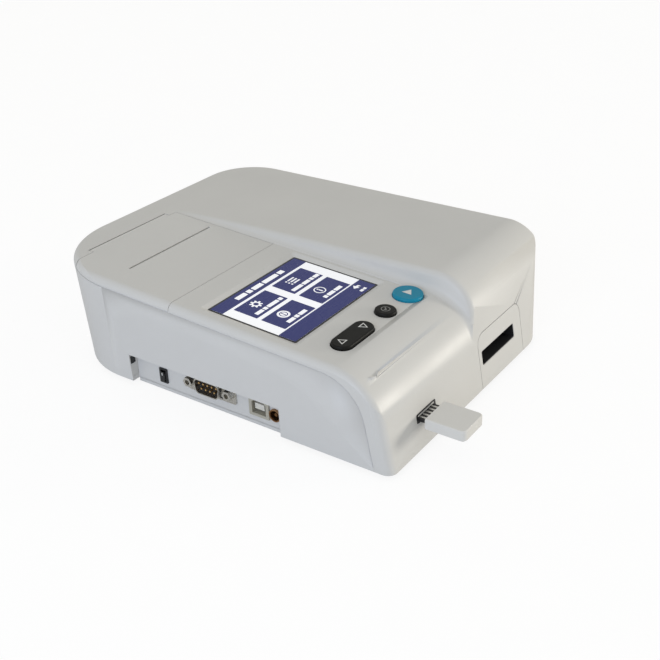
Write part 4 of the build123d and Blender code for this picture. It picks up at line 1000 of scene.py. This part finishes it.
def floor_sheet():
    """Path: flat from -reach to reach, a quarter bend of the radius, then straight up."""
    swing = np.linspace(0, math.pi / 2, 24)
    flat = np.stack([np.linspace(-floor_reach, floor_reach, 12), np.zeros(12)], axis=-1)
    bend = np.stack([floor_reach + bend_radius * np.sin(swing),
                     bend_radius * (1 - np.cos(swing))], axis=-1)
    rise = np.stack([np.full(6, bend[-1][0]),
                     np.linspace(bend[-1][1], wall_height, 6)], axis=-1)
    path = np.concatenate([flat, bend[1:], rise[1:]])
    side = np.linspace(-2 * floor_reach, 2 * floor_reach, 20)
    heading = floor_heading / np.linalg.norm(floor_heading)
    across_floor = np.array([heading[1], -heading[0]])
    place = path[:, None, 0, None] * heading + side[None, :, None] * across_floor
    height = np.broadcast_to(path[:, None, 1, None], place.shape[:2] + (1,))
    return np.concatenate([place, height], axis=-1)


floor = grid_mesh("floor", floor_sheet(), close_rows=False, close_columns=False)
for face in floor.data.polygons:
    face.use_smooth = True
material, tree, shader = new_material("floor_white")
grain = noise(tree, 30.0, 3.0)
pale = spread_colour(tree, grain, (0.80, 0.80, 0.80), (0.82, 0.82, 0.82))
tree.links.new(pale, shader.inputs["Base Color"])
shader.inputs["Roughness"].default_value = 0.8
shader.inputs["Specular IOR Level"].default_value = 0.0
glow = tree.nodes.new("ShaderNodeEmission")
glow.inputs["Color"].default_value = (1, 1, 1, 1)
glow.inputs["Strength"].default_value = 1.08
rays = tree.nodes.new("ShaderNodeLightPath")
seen = tree.nodes.new("ShaderNodeMath")
seen.operation = "MAXIMUM"
tree.links.new(rays.outputs["Is Camera Ray"], seen.inputs[0])
tree.links.new(rays.outputs["Is Transmission Ray"], seen.inputs[1])
share = tree.nodes.new("ShaderNodeMath")
share.operation = "MULTIPLY"
share.inputs[1].default_value = 0.8
tree.links.new(seen.outputs[0], share.inputs[0])
mix = tree.nodes.new("ShaderNodeMixShader")
tree.links.new(share.outputs[0], mix.inputs["Fac"])
tree.links.new(shader.outputs[0], mix.inputs[1])
tree.links.new(glow.outputs[0], mix.inputs[2])
tree.links.new(mix.outputs[0], tree.nodes["Material Output"].inputs["Surface"])
floor.data.materials.append(material)
print("floor vertices:", len(floor.data.vertices))

# %% [markdown]
# ### Light
#
# Soft light from all round comes from the world. Two lamps shape it: a large cool one on the
# left that keeps the socket wall bright, and a low warm one at the right front, so that the
# hood's front face is brighter than the sloping panel above the bend.

# %% World and lamps

world = bpy.data.worlds.new("studio")
bpy.context.scene.world = world
world.use_nodes = True
tree = world.node_tree
around = tree.nodes["Background"]
around.inputs["Color"].default_value = (1.0, 0.985, 0.93, 1)
around.inputs["Strength"].default_value = 0.65
white = tree.nodes.new("ShaderNodeBackground")
white.inputs["Color"].default_value = (1, 1, 1, 1)
rays = tree.nodes.new("ShaderNodeLightPath")
mix = tree.nodes.new("ShaderNodeMixShader")
tree.links.new(rays.outputs["Is Camera Ray"], mix.inputs["Fac"])
tree.links.new(around.outputs[0], mix.inputs[1])
tree.links.new(white.outputs[0], mix.inputs[2])
tree.links.new(mix.outputs[0], tree.nodes["World Output"].inputs["Surface"])
middle = Vector((0.0, 0.0, 0.03))


def lamp(name, place, size, power, colour):
    """A square area lamp that faces the middle of the reader."""
    light = bpy.data.lights.new(name, "AREA")
    light.size = size
    light.energy = power
    light.color = colour
    thing = add_object(name, light)
    thing.location = place
    thing.rotation_euler = (middle - Vector(place)).to_track_quat("-Z", "Y").to_euler()


lamp("left_cool", (-1.6, -0.2, 0.55), 1.0, 10.0, (0.64, 0.76, 1.0))
lamp("right_warm", (1.2, -1.6, 0.14), 0.4, 18.0, (1.0, 0.95, 0.86))

# %% [markdown]
# ### Camera
#
# The photograph looks down on the left front corner. The camera's distance, turn and lens
# were found by matching corners of the case; a small roll is in the photograph too.

# %% Camera

camera_turn = math.radians(-54.35)      # 0 looks along +Y
camera_rise = math.radians(28.66)
camera_roll = math.radians(-2.10)
camera_place = Vector((-0.3955, -0.29077, 0.27851))
lens_length = 55.76
out = Vector((math.sin(camera_turn) * math.cos(camera_rise),
              -math.cos(camera_turn) * math.cos(camera_rise), math.sin(camera_rise)))
level_right = (-out).cross(Vector((0, 0, 1))).normalized()
level_up = level_right.cross(-out)
right = level_right * math.cos(camera_roll) + level_up * math.sin(camera_roll)
up = right.cross(-out)
camera = add_object("camera", bpy.data.cameras.new("camera"))
camera.data.lens = lens_length
camera.data.sensor_width = 36.0
camera.data.clip_start = 0.01
facing = Matrix((right, up, out)).transposed().to_4x4()
camera.matrix_world = Matrix.Translation(camera_place) @ facing
bpy.context.scene.camera = camera
bpy.context.scene.view_settings.view_transform = "Standard"
print("camera looks along", [round(v, 4) for v in -out])
